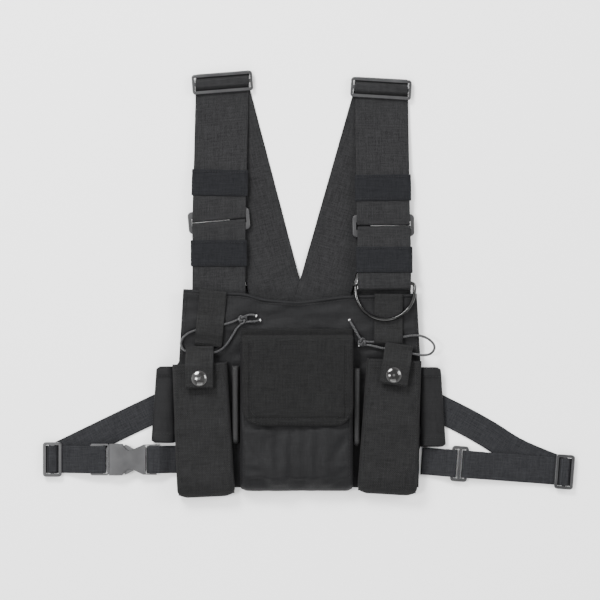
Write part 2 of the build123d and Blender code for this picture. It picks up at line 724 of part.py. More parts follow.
with BuildPart() as right_retention_strip:
    webbing(
        side_of(pack_frame(84.3, 31.0, 0, -0.5)),
        [(-0.5, FLAT), (-31.5, FLAT), (-35.0, OVER_CORD), (-43.5, OVER_CORD)],
        [3, 2], STRIP_WIDTH + 1,
    )
save(right_retention_strip, "right_retention_strip")


# ---- snap tabs ----
TAB = 3.0                  # two layers of webbing
TAB_WIDTH = 26.4
TUNNEL = 2.0               # radius of the cord tunnel
TUNNEL_OUT = 3.5
TUNNEL_HEIGHT = 7.8        # middle of the tunnel, out from the panel's back


def snap_frame(frame, corner, end, down, across=0.0):
    """Frame on a tab's front face, at a snap's centre."""
    pitch = -degrees(atan((end[1] - corner[1]) / (corner[0] - end[0])))
    slope = (end[1] - corner[1]) / (corner[0] - end[0])
    middle = corner[1] + (corner[0] + down) * slope
    origin = frame.from_local_coords(Vector(across, -down, middle))
    face = turned(Plane(origin=origin, x_dir=frame.x_dir, z_dir=frame.z_dir), 0, pitch)
    return face.offset(TAB / 2)


LEFT_TAB = pack_frame(-95.2, -20.6)
RIGHT_TAB = pack_frame(93.2, -19.5, 0, -9.3)
left_tab_side = [(0, TUNNEL_HEIGHT), (-12.4, 19.8), (-33.4, 21.5)]
right_tab_side = [(0, TUNNEL_HEIGHT), (-9.8, 20.2), (-31.6, 22.0)]
LEFT_CAP = snap_frame(LEFT_TAB, left_tab_side[1], left_tab_side[2], 24.3)
RIGHT_CAP = snap_frame(RIGHT_TAB, right_tab_side[1], right_tab_side[2], 22.7, -1.0)


def snap_tab(label, frame, side_points, cap):
    """A webbing tab, folded round the elastic at its top and carrying the snap's cap."""
    with BuildPart() as tab:
        with BuildSketch(side_of(frame)) as profile:
            with BuildLine():
                FilletPolyline(*side_points, radius=[4.0])
            trace(line_width=TAB)
            with Locations(side_points[0]):
                Circle(TUNNEL_OUT)
                Circle(TUNNEL, mode=Mode.SUBTRACT)
        extrude(amount=TAB_WIDTH / 2, both=True)
        face_hole(cap, SNAP_POST + 0.05, 4 * TAB)
    save(tab, label)


CAP_RISE = 1.8             # the dome above its rim
CAP_ROUND = 14.8           # radius of the dome's sphere


def snap_cap(label, frame):
    """A domed cap with a rim, and its rivet through the tab."""
    with BuildPart() as dome:
        with BuildSketch(frame.offset(0.85)):
            Circle(6.5)
        extrude(amount=CAP_RISE)
        with Locations(frame.offset(0.85 + CAP_RISE - CAP_ROUND)):
            Sphere(CAP_ROUND, mode=Mode.INTERSECT)
    with BuildPart() as cap:
        with BuildSketch(frame.offset(0.05)):
            Circle(7.3)
        extrude(amount=0.8)
        add(dome.part)
        with BuildSketch(frame.offset(-TAB - 0.5)):
            Circle(SNAP_POST)
        extrude(amount=TAB + 0.6)
    save(cap, label)


def snap_socket(label, frame):
    """The ring under the tab that the stud presses into."""
    with BuildPart() as ring:
        with BuildSketch(frame.offset(-TAB - 0.05)):
            Circle(5.6)
        extrude(amount=-1.8)
        with BuildSketch(frame.offset(-TAB - 1.9)):
            Circle(3.5)
        extrude(amount=1.25, mode=Mode.SUBTRACT)
        with BuildSketch(frame.offset(-TAB - 1.9)):
            Circle(SNAP_POST + 0.02)
        extrude(amount=3, mode=Mode.SUBTRACT)
    save(ring, label)


def snap_stud(label, frame):
    """The stud on the pouch's front."""
    with BuildPart() as stud:
        with BuildSketch(frame.offset(0.02)):
            Circle(4.8)
        extrude(amount=0.8)
        with BuildSketch(frame.offset(0.82)):
            Circle(1.9)
        extrude(amount=0.9)
        with BuildSketch(frame.offset(1.7)):
            Circle(2.4)
        extrude(amount=1.3)
        fillet(stud.faces().sort_by(Axis(frame.origin, frame.z_dir))[-1].edges(), 0.5)
    save(stud, label)


def snap_eyelet(label, frame):
    """The stud's rivet: a disc inside the pouch and a shank through its front wall."""
    with BuildPart() as eyelet:
        with BuildSketch(frame.offset(-CLOTH - 0.7)):
            Circle(4.6)
        extrude(amount=0.6)
        with BuildSketch(frame.offset(-CLOTH - 0.2)):
            Circle(SNAP_POST)
        extrude(amount=CLOTH + 0.2)
    save(eyelet, label)


for side, tab_frame, tab_side, cap_frame, stud_frame in (
    ("left", LEFT_TAB, left_tab_side, LEFT_CAP, LEFT_STUD),
    ("right", RIGHT_TAB, right_tab_side, RIGHT_CAP, RIGHT_STUD),
):
    snap_tab(f"{side}_tab", tab_frame, tab_side, cap_frame)
    snap_cap(f"{side}_snap_cap", cap_frame)
    snap_socket(f"{side}_snap_socket", cap_frame)
    snap_stud(f"{side}_snap_stud", stud_frame)
    snap_eyelet(f"{side}_snap_eyelet", stud_frame)


# ---- elastic cords ----
# Route points on the pack: across, up, and out from the panel's back. Each cord runs from one cut tip
# through its knot, behind the retention strip, round the outer loop, through the tab's tunnel and back
# to the knot and the other tip.
left_route = [
    (-41.6, 13.6, 5.4), (-46.4, 15.4, 5.5), (-52.4, 13.4, 6.2), (-60.0, 9.4, 5.8), (-71.0, 5.6, 5.4),
    (-85.5, 2.9, 5.4), (-98.0, 0.6, 5.4), (-107.6, -3.2, 5.7), (-113.4, -9.8, 6.6), (-112.6, -17.4, 7.4),
    (-105.4, -21.4, 7.8), (-92.5, -20.0, 7.8), (-79.8, -21.6, 7.6), (-71.0, -15.8, 6.4), (-64.2, -5.2, 5.5),
    (-58.6, 4.4, 5.6), (-50.6, 8.4, 6.2), (-44.0, 8.0, 5.5), (-37.8, 9.6, 5.4),
]
right_route = [
    (46.8, 9.8, 5.6), (52.4, 0.6, 7.2), (57.0, -8.6, 6.2), (63.6, -11.2, 6.0), (72.6, -11.0, 5.4),
    (85.4, -8.7, 5.4), (98.2, -6.3, 5.4), (106.6, -4.9, 5.5), (114.6, -4.8, 6.0), (123.4, -8.6, 7.0),
    (128.8, -15.4, 7.8), (125.0, -22.6, 8.0), (116.4, -24.0, 8.0), (105.4, -21.9, 7.8), (93.0, -19.2, 7.8),
    (80.6, -17.6, 7.6), (71.4, -15.4, 6.2), (62.6, -13.4, 6.2), (56.0, -14.4, 5.5),
]


def corner_radii(points):
    """The largest radius each corner's two runs allow."""
    radii = []
    for before, corner, after in zip(points, points[1:], points[2:]):
        run_in = Vector(*corner) - Vector(*before)
        run_out = Vector(*after) - Vector(*corner)
        turn = radians(run_in.get_angle(run_out))
        radii.append(0.45 * min(run_in.length, run_out.length) / tan(turn / 2))
    return radii


def cord(label, route):
    """One elastic cord as straight runs joined by tangent arcs."""
    points = [tuple(PACK.from_local_coords(Vector(*point))) for point in route]
    radii = corner_radii(points)
    with BuildPart() as tube:
        with BuildLine() as path:
            FilletPolyline(*points, radius=radii)
        with BuildSketch(Plane(origin=path.line @ 0, z_dir=path.line % 0)):
            Circle(CORD / 2)
        sweep(path=path.line)
    save(tube, label)
    length = sum(edge.length for edge in path.line.edges())
    expected = 3.14159 * (CORD / 2) ** 2 * length
    print(f"{label}: length {length:.1f} mm, volume {tube.part.volume:.1f} of {expected:.1f} mm3,"
          f" radii {min(radii):.1f} to {max(radii):.1f} mm:", " ".join(f"{r:.1f}" for r in radii))


def knot(label, across, up, out, radius, half_height):
    """A flattened round knot."""
    frame = pack_frame(across, up, out)
    with BuildPart() as ball:
        with BuildSketch(frame.offset(-half_height)):
            Circle(radius)
        extrude(amount=2 * half_height)
        fillet(ball.edges(), 0.8 * half_height)
    save(ball, label)


cord("left_cord", left_route)
cord("right_cord", right_route)
knot("left_cord_knot", -54.6, 10.2, 6.9, 5.0, 2.8)
knot("right_cord_knot", 58.9, -11.2, 6.9, 4.4, 2.8)

for name, frame in (
    ("flap axis", FLAP_FRAME), ("left tab", pack_frame(-95.2, -20.6, TUNNEL_HEIGHT)),
    ("right tab", pack_frame(93.2, -19.5, TUNNEL_HEIGHT, -9.3)), ("d ring", D_FRAME),
):
    print(name, frame.origin, frame.x_dir)
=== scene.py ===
from math import atan, copysign, cos, exp, pi, radians, sin, sqrt, tan

import bmesh
import bpy
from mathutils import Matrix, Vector, noise
from mathutils.bvhtree import BVHTree


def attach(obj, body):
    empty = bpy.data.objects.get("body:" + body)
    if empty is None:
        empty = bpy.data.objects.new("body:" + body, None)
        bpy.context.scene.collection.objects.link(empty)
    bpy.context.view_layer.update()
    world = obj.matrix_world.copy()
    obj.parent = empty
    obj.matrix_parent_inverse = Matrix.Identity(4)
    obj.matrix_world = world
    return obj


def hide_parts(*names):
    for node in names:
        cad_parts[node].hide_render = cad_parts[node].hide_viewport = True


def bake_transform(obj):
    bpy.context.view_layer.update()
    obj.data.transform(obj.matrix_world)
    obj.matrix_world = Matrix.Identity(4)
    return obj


# A two-way-radio chest harness, laid flat. Sizes below are in millimetres and become metres in MM.
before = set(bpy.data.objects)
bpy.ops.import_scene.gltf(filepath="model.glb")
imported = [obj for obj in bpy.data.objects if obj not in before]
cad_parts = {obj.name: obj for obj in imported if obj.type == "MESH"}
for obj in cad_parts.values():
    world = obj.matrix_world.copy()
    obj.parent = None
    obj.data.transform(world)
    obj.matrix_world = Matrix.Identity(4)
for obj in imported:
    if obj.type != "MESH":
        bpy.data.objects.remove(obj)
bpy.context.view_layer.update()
MM = 0.001

# ---- sizes shared with the solid model ----
SHOULDER_WIDTH = 50.6
WAIST_WIDTH = 26.0
WEB = 1.5
LAYER_STEP = WEB + 0.15
TABLE_LAYER = WEB / 2
YOKE = 1.5
PACK_LIFT = 6.6
PACK_TILT = atan(0.04)
PANEL = 4.0


# ---- frames ----
class Frame:
    """A place with an along, an across and an out direction; points are given in millimetres."""

    def __init__(self, origin, along, out):
        self.origin = Vector(origin)
        self.along = Vector(along).normalized()
        self.out = Vector(out).normalized()
        self.across = self.along.cross(self.out)

    def at(self, across, along, out=0.0):
        return self.origin + (self.across * across + self.along * along + self.out * out) * MM


PACK = Frame((0, 0, PACK_LIFT * MM), (0, cos(PACK_TILT), sin(PACK_TILT)),
             (0, -sin(PACK_TILT), cos(PACK_TILT)))


def on_pack(across, up, turn=0.0):
    """A frame on the pack's back plane, turned in that plane."""
    t = radians(turn)
    along = PACK.along * cos(t) - PACK.across * sin(t)
    return Frame(PACK.at(across, up), along, PACK.out)


def run_frame(x, y, heading):
    """A frame on the table, along a strap's heading."""
    a = radians(heading)
    return Frame((x * MM, y * MM, 0), (cos(a), sin(a), 0), (0, 0, 1))


# ---- number helpers ----
def ripple(x, y, z):
    """Smooth noise between about -1 and 1."""
    return noise.noise(Vector((x, y, z)))


def clamp(value, low=0.0, high=1.0):
    return min(max(value, low), high)


def eased(value):
    """0 below 0, 1 above 1, smooth between."""
    t = clamp(value)
    return t * t * (3 - 2 * t)


def soft(value, power):
    """A sine or cosine squared off by a power below 1."""
    return copysign(abs(value) ** power, value)


def arc_drop(radius, near):
    """How far an edge has drawn in, near millimetres into a rounded corner."""
    return radius - sqrt(max(radius ** 2 - max(near, 0.0) ** 2, 0.0))


def lookup(table, value):
    """Straight-line lookup in a list of (key, value) pairs."""
    if value <= table[0][0]:
        return table[0][1]
    for (a, x), (b, y) in zip(table, table[1:]):
        if value <= b:
            return x + (y - x) * (value - a) / (b - a)
    return table[-1][1]


def spread(start, stop, count):
    """Equal steps from start to stop."""
    return [start + (stop - start) * k / count for k in range(count + 1)]


def turns(count):
    """Angles round a full turn."""
    return spread(0.0, 2 * pi, count)[:-1]


def distances(points, unit=1.0):
    """How far along a line each of its points is."""
    travelled = [0.0]
    for a, b in zip(points, points[1:]):
        travelled.append(travelled[-1] + (b - a).length / unit)
    return travelled


def heading_at(line, k):
    """Direction of a sampled line at its point k."""
    return (line[min(k + 1, len(line) - 1)] - line[max(k - 1, 0)]).normalized()


def round_about(centre, ahead, out, radius, count):
    """A circle of points round a line that runs ahead; radius is in metres."""
    side = ahead.cross(out).normalized()
    rise = side.cross(ahead)
    return [centre + (side * cos(a) + rise * sin(a)) * radius for a in turns(count)]


# ---- mesh helpers ----
def make_object(name, verts, faces, uvs=None):
    mesh = bpy.data.meshes.new(name)
    mesh.from_pydata([tuple(v) for v in verts], [], faces)
    if uvs is not None:
        layer = mesh.uv_layers.new(name="strip")
        for loop in mesh.loops:
            layer.data[loop.index].uv = uvs[loop.vertex_index]
    for polygon in mesh.polygons:
        polygon.use_smooth = True
    mesh.validate()
    obj = bpy.data.objects.new(name, mesh)
    bpy.context.scene.collection.objects.link(obj)
    bm = bmesh.new()
    bm.from_mesh(mesh)
    bmesh.ops.recalc_face_normals(bm, faces=bm.faces)
    bm.to_mesh(mesh)
    bm.free()
    return obj


def join(name, objects):
    """One mesh object from several, keeping their UVs."""
    bpy.ops.object.select_all(action="DESELECT")
    for obj in objects:
        obj.select_set(True)
    bpy.context.view_layer.objects.active = objects[0]
    if len(objects) > 1:
        bpy.ops.object.join()
    objects[0].name = name
    objects[0].data.name = name
    return objects[0]


def rounded(points, radii, step=2.5):
    """Samples a polyline with rounded corners: a list of (x, y) points in millimetres."""
    out = [Vector(points[0])]
    for i in range(1, len(points) - 1):
        before, corner, after = (Vector(points[i + k]) for k in (-1, 0, 1))
        d1, d2 = (corner - before).normalized(), (after - corner).normalized()
        turn = d1.angle(d2, 0.0)
        if turn < 1e-3:
            out.append(corner)
            continue
        limit = 0.49 * min((corner - before).length, (after - corner).length)
        reach = min(radii[i - 1] * tan(turn / 2), limit)
        start, end = corner - d1 * reach, corner + d2 * reach
        count = max(3, int(turn / radians(14)))
        for k in range(count + 1):
            t = k / count
            blend = start * (1 - t) ** 2 + corner * 2 * t * (1 - t) + end * t ** 2
            # a quadratic lies inside the arc at a tight turn, so it is pushed a little towards the corner
            out.append(blend + (corner - blend) * 0.12 * sin(pi * t))
    out.append(Vector(points[-1]))
    dense = [out[0]]
    for a, b in zip(out, out[1:]):
        count = max(1, int((b - a).length / step))
        dense += [a.lerp(b, (k + 1) / count) for k in range(count)]
    return dense


def path_normals(path):
    """Left-hand normals of a sampled 2D path."""
    headings = [heading_at(path, k) for k in range(len(path))]
    return [Vector((-d.y, d.x)) for d in headings]


def edge_columns(width, spacing=2.0):
    """Columns across a strap, closer at its edges: (offset, share of the thickness)."""
    half = width / 2
    inner = half - 1.5
    count = max(2, int(2 * inner / spacing))
    middle = [(x, 1.0) for x in spread(-inner, inner, count)]
    return [(-half, 0.3), (-half + 0.3, 0.72), (-half + 0.8, 0.94)] + middle + [
        (half - 0.8, 0.94), (half - 0.3, 0.72), (half, 0.3)]


def skin(name, rings, uv_rings, closed_ends=True):
    """A surface through equal rings of points."""
    n = len(rings[0])
    verts = [p for ring in rings for p in ring]
    uvs = [uv for ring in uv_rings for uv in ring]
    faces = []
    for r in range(len(rings) - 1):
        for k in range(n):
            a, b = r * n + k, r * n + (k + 1) % n
            faces.append((a, b, b + n, a + n))
    if closed_ends:
        half = n // 2
        for base in (0, (len(rings) - 1) * n):
            for k in range(half - 1):
                faces.append((base + k, base + k + 1, base + n - 2 - k, base + n - 1 - k))
    return make_object(name, verts, faces, uvs)


def strap(name, place, points, radii, width, fold=None, thickness=WEB, lift=0.14, seed=0.0, end_fold=None):
    """A length of webbing along a side profile, with soft edges and a slight wave.

    fold and end_fold are the plan directions of the bars at its two ends, where they aren't square to it.
    """
    path = rounded(points, radii)
    lengths = distances(path)
    end_fold = fold if end_fold is None else end_fold
    rings, uv_rings = [], []
    for point, normal, length in zip(path, path_normals(path), lengths):
        across = place.across
        if fold is not None:
            angle = radians(fold + (end_fold - fold) * length / lengths[-1])
            direction = Vector((cos(angle), sin(angle), 0))
            across = direction / direction.dot(place.across)
        centre = place.at(0, point.x, point.y)
        out = place.along * normal.x + place.out * normal.y
        sway = 1 + ripple(length * 0.05, seed, 3.0) * 0.004
        top, bottom, uvs = [], [], []
        for offset, share in edge_columns(width):
            spot = centre + across * offset * MM
            wave = ripple(spot.x * 22, spot.y * 22, seed) * lift
            spot = centre + across * offset * sway * MM
            half = thickness / 2 * share
            top.append(spot + out * (wave + half) * MM)
            bottom.append(spot + out * (wave - half) * MM)
            uvs.append((offset * MM, length * MM))
        rings.append(top + bottom[::-1])
        uv_rings.append(uvs + uvs[::-1])
    return skin(name, rings, uv_rings)


def ribbon(name, centreline, width, height, seed):
    """Webbing that lies flat along a plan curve; height gives its centre height at an x."""
    line = smooth_line(centreline, 4.0)
    rings, uv_rings = [], []
    for k, (point, length) in enumerate(zip(line, distances(line))):
        ahead = heading_at(line, k)
        top, bottom, uvs = [], [], []
        for offset, share in edge_columns(width):
            x, y = point.x + ahead.y * offset, point.y - ahead.x * offset
            wave = ripple(x * 0.022, y * 0.022, seed) * 0.12
            z = height(x)
            top.append(Vector((x, y, z + WEB / 2 * share + wave)) * MM)
            bottom.append(Vector((x, y, max(z - WEB / 2 * share + wave, 0.02))) * MM)
            uvs.append((offset * MM, length * MM))
        rings.append(top + bottom[::-1])
        uv_rings.append(uvs + uvs[::-1])
    return skin(name, rings, uv_rings)


def smooth_line(points, step):
    """A Catmull-Rom curve through plan points."""
    pts = [Vector(p) for p in points]
    pts = [pts[0] * 2 - pts[1]] + pts + [pts[-1] * 2 - pts[-2]]
    line = [pts[1]]
    for i in range(1, len(pts) - 2):
        p0, p1, p2, p3 = pts[i - 1:i + 3]
        count = max(1, int((p2 - p1).length / step))
        for k in range(1, count + 1):
            t = k / count
            line.append(0.5 * (2 * p1 + (p2 - p0) * t + (2 * p0 - 5 * p1 + 4 * p2 - p3) * t ** 2
                               + (3 * p1 - p0 - 3 * p2 + p3) * t ** 3))
    return line


def sheet_grid(name, columns, rows, place_point, thickness, rims=(0.35, 0.8, 1.0)):
    """A cloth panel with two faces and closed edges; place_point(a, b) gives (point, out, uv)."""
    front, rear, uvs = [], [], []
    for j in range(rows + 1):
        for i in range(columns + 1):
            point, out, uv = place_point(i / columns, j / rows)
            half = out * thickness * rims[min(i, columns - i, j, rows - j, 2)] * 0.5 * MM
            front.append(point + half)
            rear.append(point - half)
            uvs.append(uv)
    n, m = columns + 1, rows + 1
    faces = []
    for j in range(rows):
        for i in range(columns):
            a = j * n + i
            faces.append((a, a + 1, a + 1 + n, a + n))
            faces.append(tuple(n * m + k for k in (a + n, a + 1 + n, a + 1, a)))
    loop = list(range(n)) + [j * n + n - 1 for j in range(1, m)]
    loop += [(m - 1) * n + i for i in range(n - 2, -1, -1)] + [j * n for j in range(m - 2, 0, -1)]
    for a, b in zip(loop, loop[1:] + loop[:1]):
        faces.append((b, a, a + n * m, b + n * m))
    return make_object(name, front + rear, faces, uvs + uvs)


DASH_HEIGHTS = (-0.1, 0.2, 0.26, 0.2, -0.1)     # of a stitch's middle line, from end to end
DASH_SIDES = 6


def stitches(name, rows, pitch=3.1, dash=2.35, radius=0.24):
    """Thread lying on cloth: each row is (points on the surface, out direction)."""
    verts, faces = [], []
    for points, out in rows:
        lengths = distances(points, MM)

        def spot(distance):
            for k, (start, end) in enumerate(zip(lengths, lengths[1:])):
                if distance <= end:
                    share = (distance - start) / (end - start) if end > start else 0
                    return points[k].lerp(points[k + 1], share)
            return points[-1]

        for n in range(int(lengths[-1] / pitch)):
            start = n * pitch + 0.4
            ahead = (spot(start + dash) - spot(start)).normalized()
            side = ahead.cross(out).normalized()
            base = len(verts)
            for k, height in enumerate(DASH_HEIGHTS):
                here = spot(start + dash * k / 4) + out * height * MM
                slim = radius * MM * (0.6 if k in (0, 4) else 1.0)
                verts += [here + (side * cos(a) + out * sin(a)) * slim for a in turns(DASH_SIDES)]
            for k in range(len(DASH_HEIGHTS) - 1):
                for c in range(DASH_SIDES):
                    a, b = (base + k * DASH_SIDES + corner for corner in (c, (c + 1) % DASH_SIDES))
                    faces.append((a, b, b + DASH_SIDES, a + DASH_SIDES))
            faces.append(tuple(base + c for c in range(DASH_SIDES))[::-1])
            faces.append(tuple(base + 4 * DASH_SIDES + c for c in range(DASH_SIDES)))
    return make_object(name, verts, faces)


# ---- materials ----
BLACK = (0, 0, 0)
WHITE = (1, 1, 1)
LINT_COLOUR = (0.32, 0.32, 0.33, 1)
HERRINGBONE = 3.1          # width of one slant of the herringbone weave


class Tree:
    """A material's nodes. A value given for an input is linked where it is another node's output."""

    def __init__(self, name):
        self.material = bpy.data.materials.new(name)
        self.material.use_nodes = True
        self.tree = self.material.node_tree
        self.shader = self.tree.nodes["Principled BSDF"]

    def fill(self, node, values):
        for key, value in values.items():
            if isinstance(value, bpy.types.NodeSocket):
                self.tree.links.new(value, node.inputs[key])
            else:
                node.inputs[key].default_value = value

    def add(self, kind, values, output=0, **settings):
        node = self.tree.nodes.new(f"ShaderNode{kind}")
        for key, value in settings.items():
            setattr(node, key, value)
        self.fill(node, values)
        return node.outputs[output]

    def math(self, operation, *values):
        return self.add("Math", dict(enumerate(values)), operation=operation)

    def noise(self, vector, scale, detail=3.0, roughness=0.6):
        values = {"Vector": vector, "Scale": scale, "Detail": detail, "Roughness": roughness}
        return self.add("TexNoise", values, "Fac")

    def streak(self, vector, stretch):
        """Uneven yarns: noise drawn out along one thread direction."""
        drawn = self.add("VectorMath", {0: vector, 1: stretch}, operation="MULTIPLY")
        return self.noise(drawn, 820, 2.0, 0.75)

    def ramp(self, factor, *stops):
        """A colour that changes from stop to stop; each is (factor, colour)."""
        colour = self.add("ValToRGB", {0: factor}, "Color")
        for element, (position, value) in zip(colour.node.color_ramp.elements, stops):
            element.position = position
            element.color = (*value, 1)
        return colour

    def mix(self, factor, a, b):
        return self.add("Mix", {"Factor": factor, "A": a, "B": b}, "Result", data_type="RGBA")

    def finish(self, colour, roughness, height, strength, relief, **more):
        """Sets the shader, with relief millimetres of bump; more names further inputs."""
        bump = self.add("Bump", {"Strength": strength, "Distance": relief * MM, "Height": height})
        self.fill(self.shader, {"Base Color": colour, "Roughness": roughness, "Normal": bump})
        self.fill(self.shader, {key.replace("_", " "): value for key, value in more.items()})
        return self.material


def cloth_material(name, dark, light, pitch, pattern="plain", from_uv=True, relief=0.12, roughness=0.82,
                   lint=0.0, specular=0.08):
    """Woven cloth: pitch is (across, along) in millimetres, and lint the strength of pale specks."""
    tree = Tree(name)
    position = tree.add("TexCoord", {}, "Object")
    source = tree.add("TexCoord", {}, "UV") if from_uv else position
    across, along = (tree.add("SeparateXYZ", {0: source}, axis) for axis in (0, 1))
    per_metre = [2 * pi / (step * MM) for step in pitch]
    u, v = tree.math("MULTIPLY", across, per_metre[0]), tree.math("MULTIPLY", along, per_metre[1])
    if pattern == "plain":
        height = tree.math("MULTIPLY", tree.math("SINE", u), tree.math("SINE", v))
    elif pattern == "twill":
        height = tree.math("SINE", tree.math("ADD", u, v))
    elif pattern == "rib":
        bar = tree.math("MULTIPLY", tree.math("SINE", v), 0.75)
        height = tree.math("ADD", bar, tree.math("MULTIPLY", tree.math("SINE", u), 0.25))
    else:
        zigzag = tree.math("PINGPONG", across, HERRINGBONE * MM)
        height = tree.math("SINE", tree.math("ADD", tree.math("MULTIPLY", zigzag, per_metre[0]), v))
    height = tree.math("MULTIPLY_ADD", height, 0.5, 0.5)
    yarn, patches = tree.noise(position, 900, 2.0), tree.noise(position, 38, 4.0)
    warp, weft = tree.streak(source, (1, 0.07, 1)), tree.streak(source, (0.07, 1, 1))
    tone = tree.math("MULTIPLY", height, 0.2)
    for part, share in ((warp, 0.25), (weft, 0.25), (yarn, 0.2), (patches, 0.1)):
        tone = tree.math("MULTIPLY_ADD", part, share, tone)
    colour = tree.ramp(tone, (0.34, dark), (0.66, light))
    if lint:
        specks = tree.noise(position, 1100, 1.0)
        colour = tree.mix(tree.ramp(specks, (0.72, BLACK), (0.80, (lint,) * 3)), colour, LINT_COLOUR)
    rough = tree.math("MULTIPLY_ADD", patches, 0.16, roughness - 0.08)
    surface = tree.math("ADD", height, tree.math("MULTIPLY", yarn, 0.8))
    return tree.finish(colour, rough, surface, 0.85, relief, Sheen_Weight=0.02, Sheen_Roughness=0.45,
                       Specular_IOR_Level=specular)


def hard_material(name, colour, edge_wear_and_highlight, metallic, roughness, grain, relief):
    """Moulded plastic or plated metal, with fine grain, uneven gloss, and edges painted lighter: partly rubbed
    wear, partly painted highlight.
    """
    tree = Tree(name)
    position = tree.add("TexCoord", {}, "Object")
    broad = tree.noise(position, 60, 4.0)
    edge = tree.add("NewGeometry", {}, "Pointiness")
    # edges are painted lighter by pointiness: partly rubbed wear, partly a painted highlight along them
    wear_and_highlight_edges = tree.math("ADD", edge, tree.math("MULTIPLY", broad, 0.12))
    mixed = tree.mix(tree.ramp(wear_and_highlight_edges, (0.56, BLACK), (0.67, WHITE)), (*colour, 1), (*edge_wear_and_highlight, 1))
    rough = tree.math("MULTIPLY_ADD", broad, 0.18, roughness - 0.09)
    return tree.finish(mixed, rough, tree.noise(position, grain), 0.5, relief, Metallic=metallic)


webbing_cloth = cloth_material("shoulder_webbing_cloth", (0.0036, 0.0036, 0.0039), (0.0265, 0.0265, 0.0275),
                               (1.5, 1.25), "herringbone", relief=0.28, roughness=0.86, lint=0.03)
waist_cloth = cloth_material("waist_webbing_cloth", (0.0040, 0.0041, 0.0047), (0.0265, 0.0270, 0.0296),
                             (1.3, 1.1), "rib", relief=0.24, roughness=0.84, lint=0.02)
tab_cloth = cloth_material("tab_webbing_cloth", (0.0030, 0.0030, 0.0031), (0.0205, 0.0205, 0.0208),
                           (1.5, 1.3), "plain", relief=0.26, roughness=0.86, lint=0.03)
elastic_cloth = cloth_material("elastic_band_cloth", (0.0028, 0.0029, 0.0034), (0.0145, 0.015, 0.017),
                               (0.8, 1.2), "rib", relief=0.16, roughness=0.88, lint=0.02)
pouch_cloth = cloth_material("pouch_canvas", (0.0028, 0.0028, 0.0029), (0.021, 0.021, 0.0214),
                             (1.9, 1.7), "plain", relief=0.30, roughness=0.88, lint=0.03)
flap_cloth = cloth_material("flap_canvas", (0.0024, 0.0024, 0.0025), (0.0150, 0.0150, 0.0152),
                            (1.5, 1.5), "plain", relief=0.24, roughness=0.86, lint=0.03)
panel_cloth = cloth_material("panel_nylon", (0.0028, 0.0028, 0.0031), (0.0098, 0.0098, 0.0106),
                             (1.1, 1.1), "plain", relief=0.14, roughness=0.55, lint=0.02, specular=0.12)
tape_cloth = cloth_material("binding_tape_cloth", (0.0028, 0.0028, 0.003), (0.015, 0.015, 0.0155),
                            (1.0, 0.9), "rib", relief=0.2, roughness=0.6, specular=0.3)
hook_cloth = cloth_material("hook_and_loop_pile", (0.003, 0.003, 0.003), (0.016, 0.016, 0.016),
                            (0.9, 0.9), "plain", relief=0.5, roughness=0.95)
thread = cloth_material("thread", (0.005, 0.005, 0.0052), (0.020, 0.020, 0.0205),
                        (0.5, 0.5), "twill", from_uv=False, relief=0.08, roughness=0.6, specular=0.12)
cord_cloth = cloth_material("elastic_cord_braid", (0.0025, 0.0025, 0.003), (0.042, 0.042, 0.044),
                            (1.4, 1.4), "twill", from_uv=False, relief=0.35, roughness=0.34, lint=0.9,
                            specular=0.55)
plastic = hard_material("moulded_acetal", (0.013, 0.013, 0.014), (0.045, 0.045, 0.047), 0.0, 0.32, 1500, 0.04)
dark_metal = hard_material("black_nickel", (0.028, 0.028, 0.028), (0.16, 0.16, 0.158), 1.0, 0.15, 900, 0.004)
cap_metal = hard_material("gunmetal_cap", (0.045, 0.045, 0.044), (0.26, 0.26, 0.258), 1.0, 0.14, 900, 0.003)


def paint(obj, material):
    obj.data.materials.clear()
    obj.data.materials.append(material)


for side in ("left", "right"):
    for part in ("top_slider", "middle_ring", "end_slider"):
        paint(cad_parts[f"{side}_{part}"], plastic)
    for part in ("snap_socket", "snap_stud", "snap_eyelet"):
        paint(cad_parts[f"{side}_{part}"], dark_metal)
    paint(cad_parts[f"{side}_snap_cap"], cap_metal)
for node in ("right_adjuster", "buckle_socket", "buckle_plug", "buckle_upper_prong", "buckle_lower_prong"):
    paint(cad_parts[node], plastic)
paint(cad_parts["d_ring"], dark_metal)


def finish_piece(obj, material, slot, body, *nodes):
    """Gives a piece its material and its body, and hides the solids it stands for."""
    paint(obj, material)
    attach(obj, body)
    if nodes:
        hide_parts(*nodes)
    return obj


def hinged_piece(obj, material, nodes, start, end):
    """Cloth given its material, with the solids it stands for hidden and its shape baked in place; start and
    end are not used.
    """
    paint(obj, material)
    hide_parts(*nodes)
    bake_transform(obj)


def webbing(name, node, cloth, slot, *shape, **more):
    """A strap that rides on the pack and stands for one solid."""
    return finish_piece(strap(name, *shape, **more), cloth, slot, "pack", node)


def sew(name, rows, slot, body, *sizes):
    """Rows of stitches as one piece."""
    return finish_piece(stitches(name, rows, *sizes), thread, slot, body)


# ---- camera, light and floor ----
VIEW_WIDTH = 0.570
VIEW_CENTRE = (0.0, 0.0285)
VIEW_DISTANCE = 2.6
camera_data = bpy.data.cameras.new("overhead")
camera_data.sensor_width = 36.0
camera_data.lens = camera_data.sensor_width * VIEW_DISTANCE / VIEW_WIDTH
camera_data.clip_end = 20
camera = bpy.data.objects.new("overhead", camera_data)
camera.location = (*VIEW_CENTRE, VIEW_DISTANCE + 0.012)
bpy.context.scene.collection.objects.link(camera)
bpy.context.scene.camera = camera


def area_light(name, place, target, width, height, power):
    data = bpy.data.lights.new(name, "AREA")
    data.shape = "RECTANGLE"
    data.size = width
    data.size_y = height
    data.energy = power
    light = bpy.data.objects.new(name, data)
    light.location = place
    light.rotation_euler = (Vector(target) - Vector(place)).to_track_quat("-Z", "Y").to_euler()
    bpy.context.scene.collection.objects.link(light)


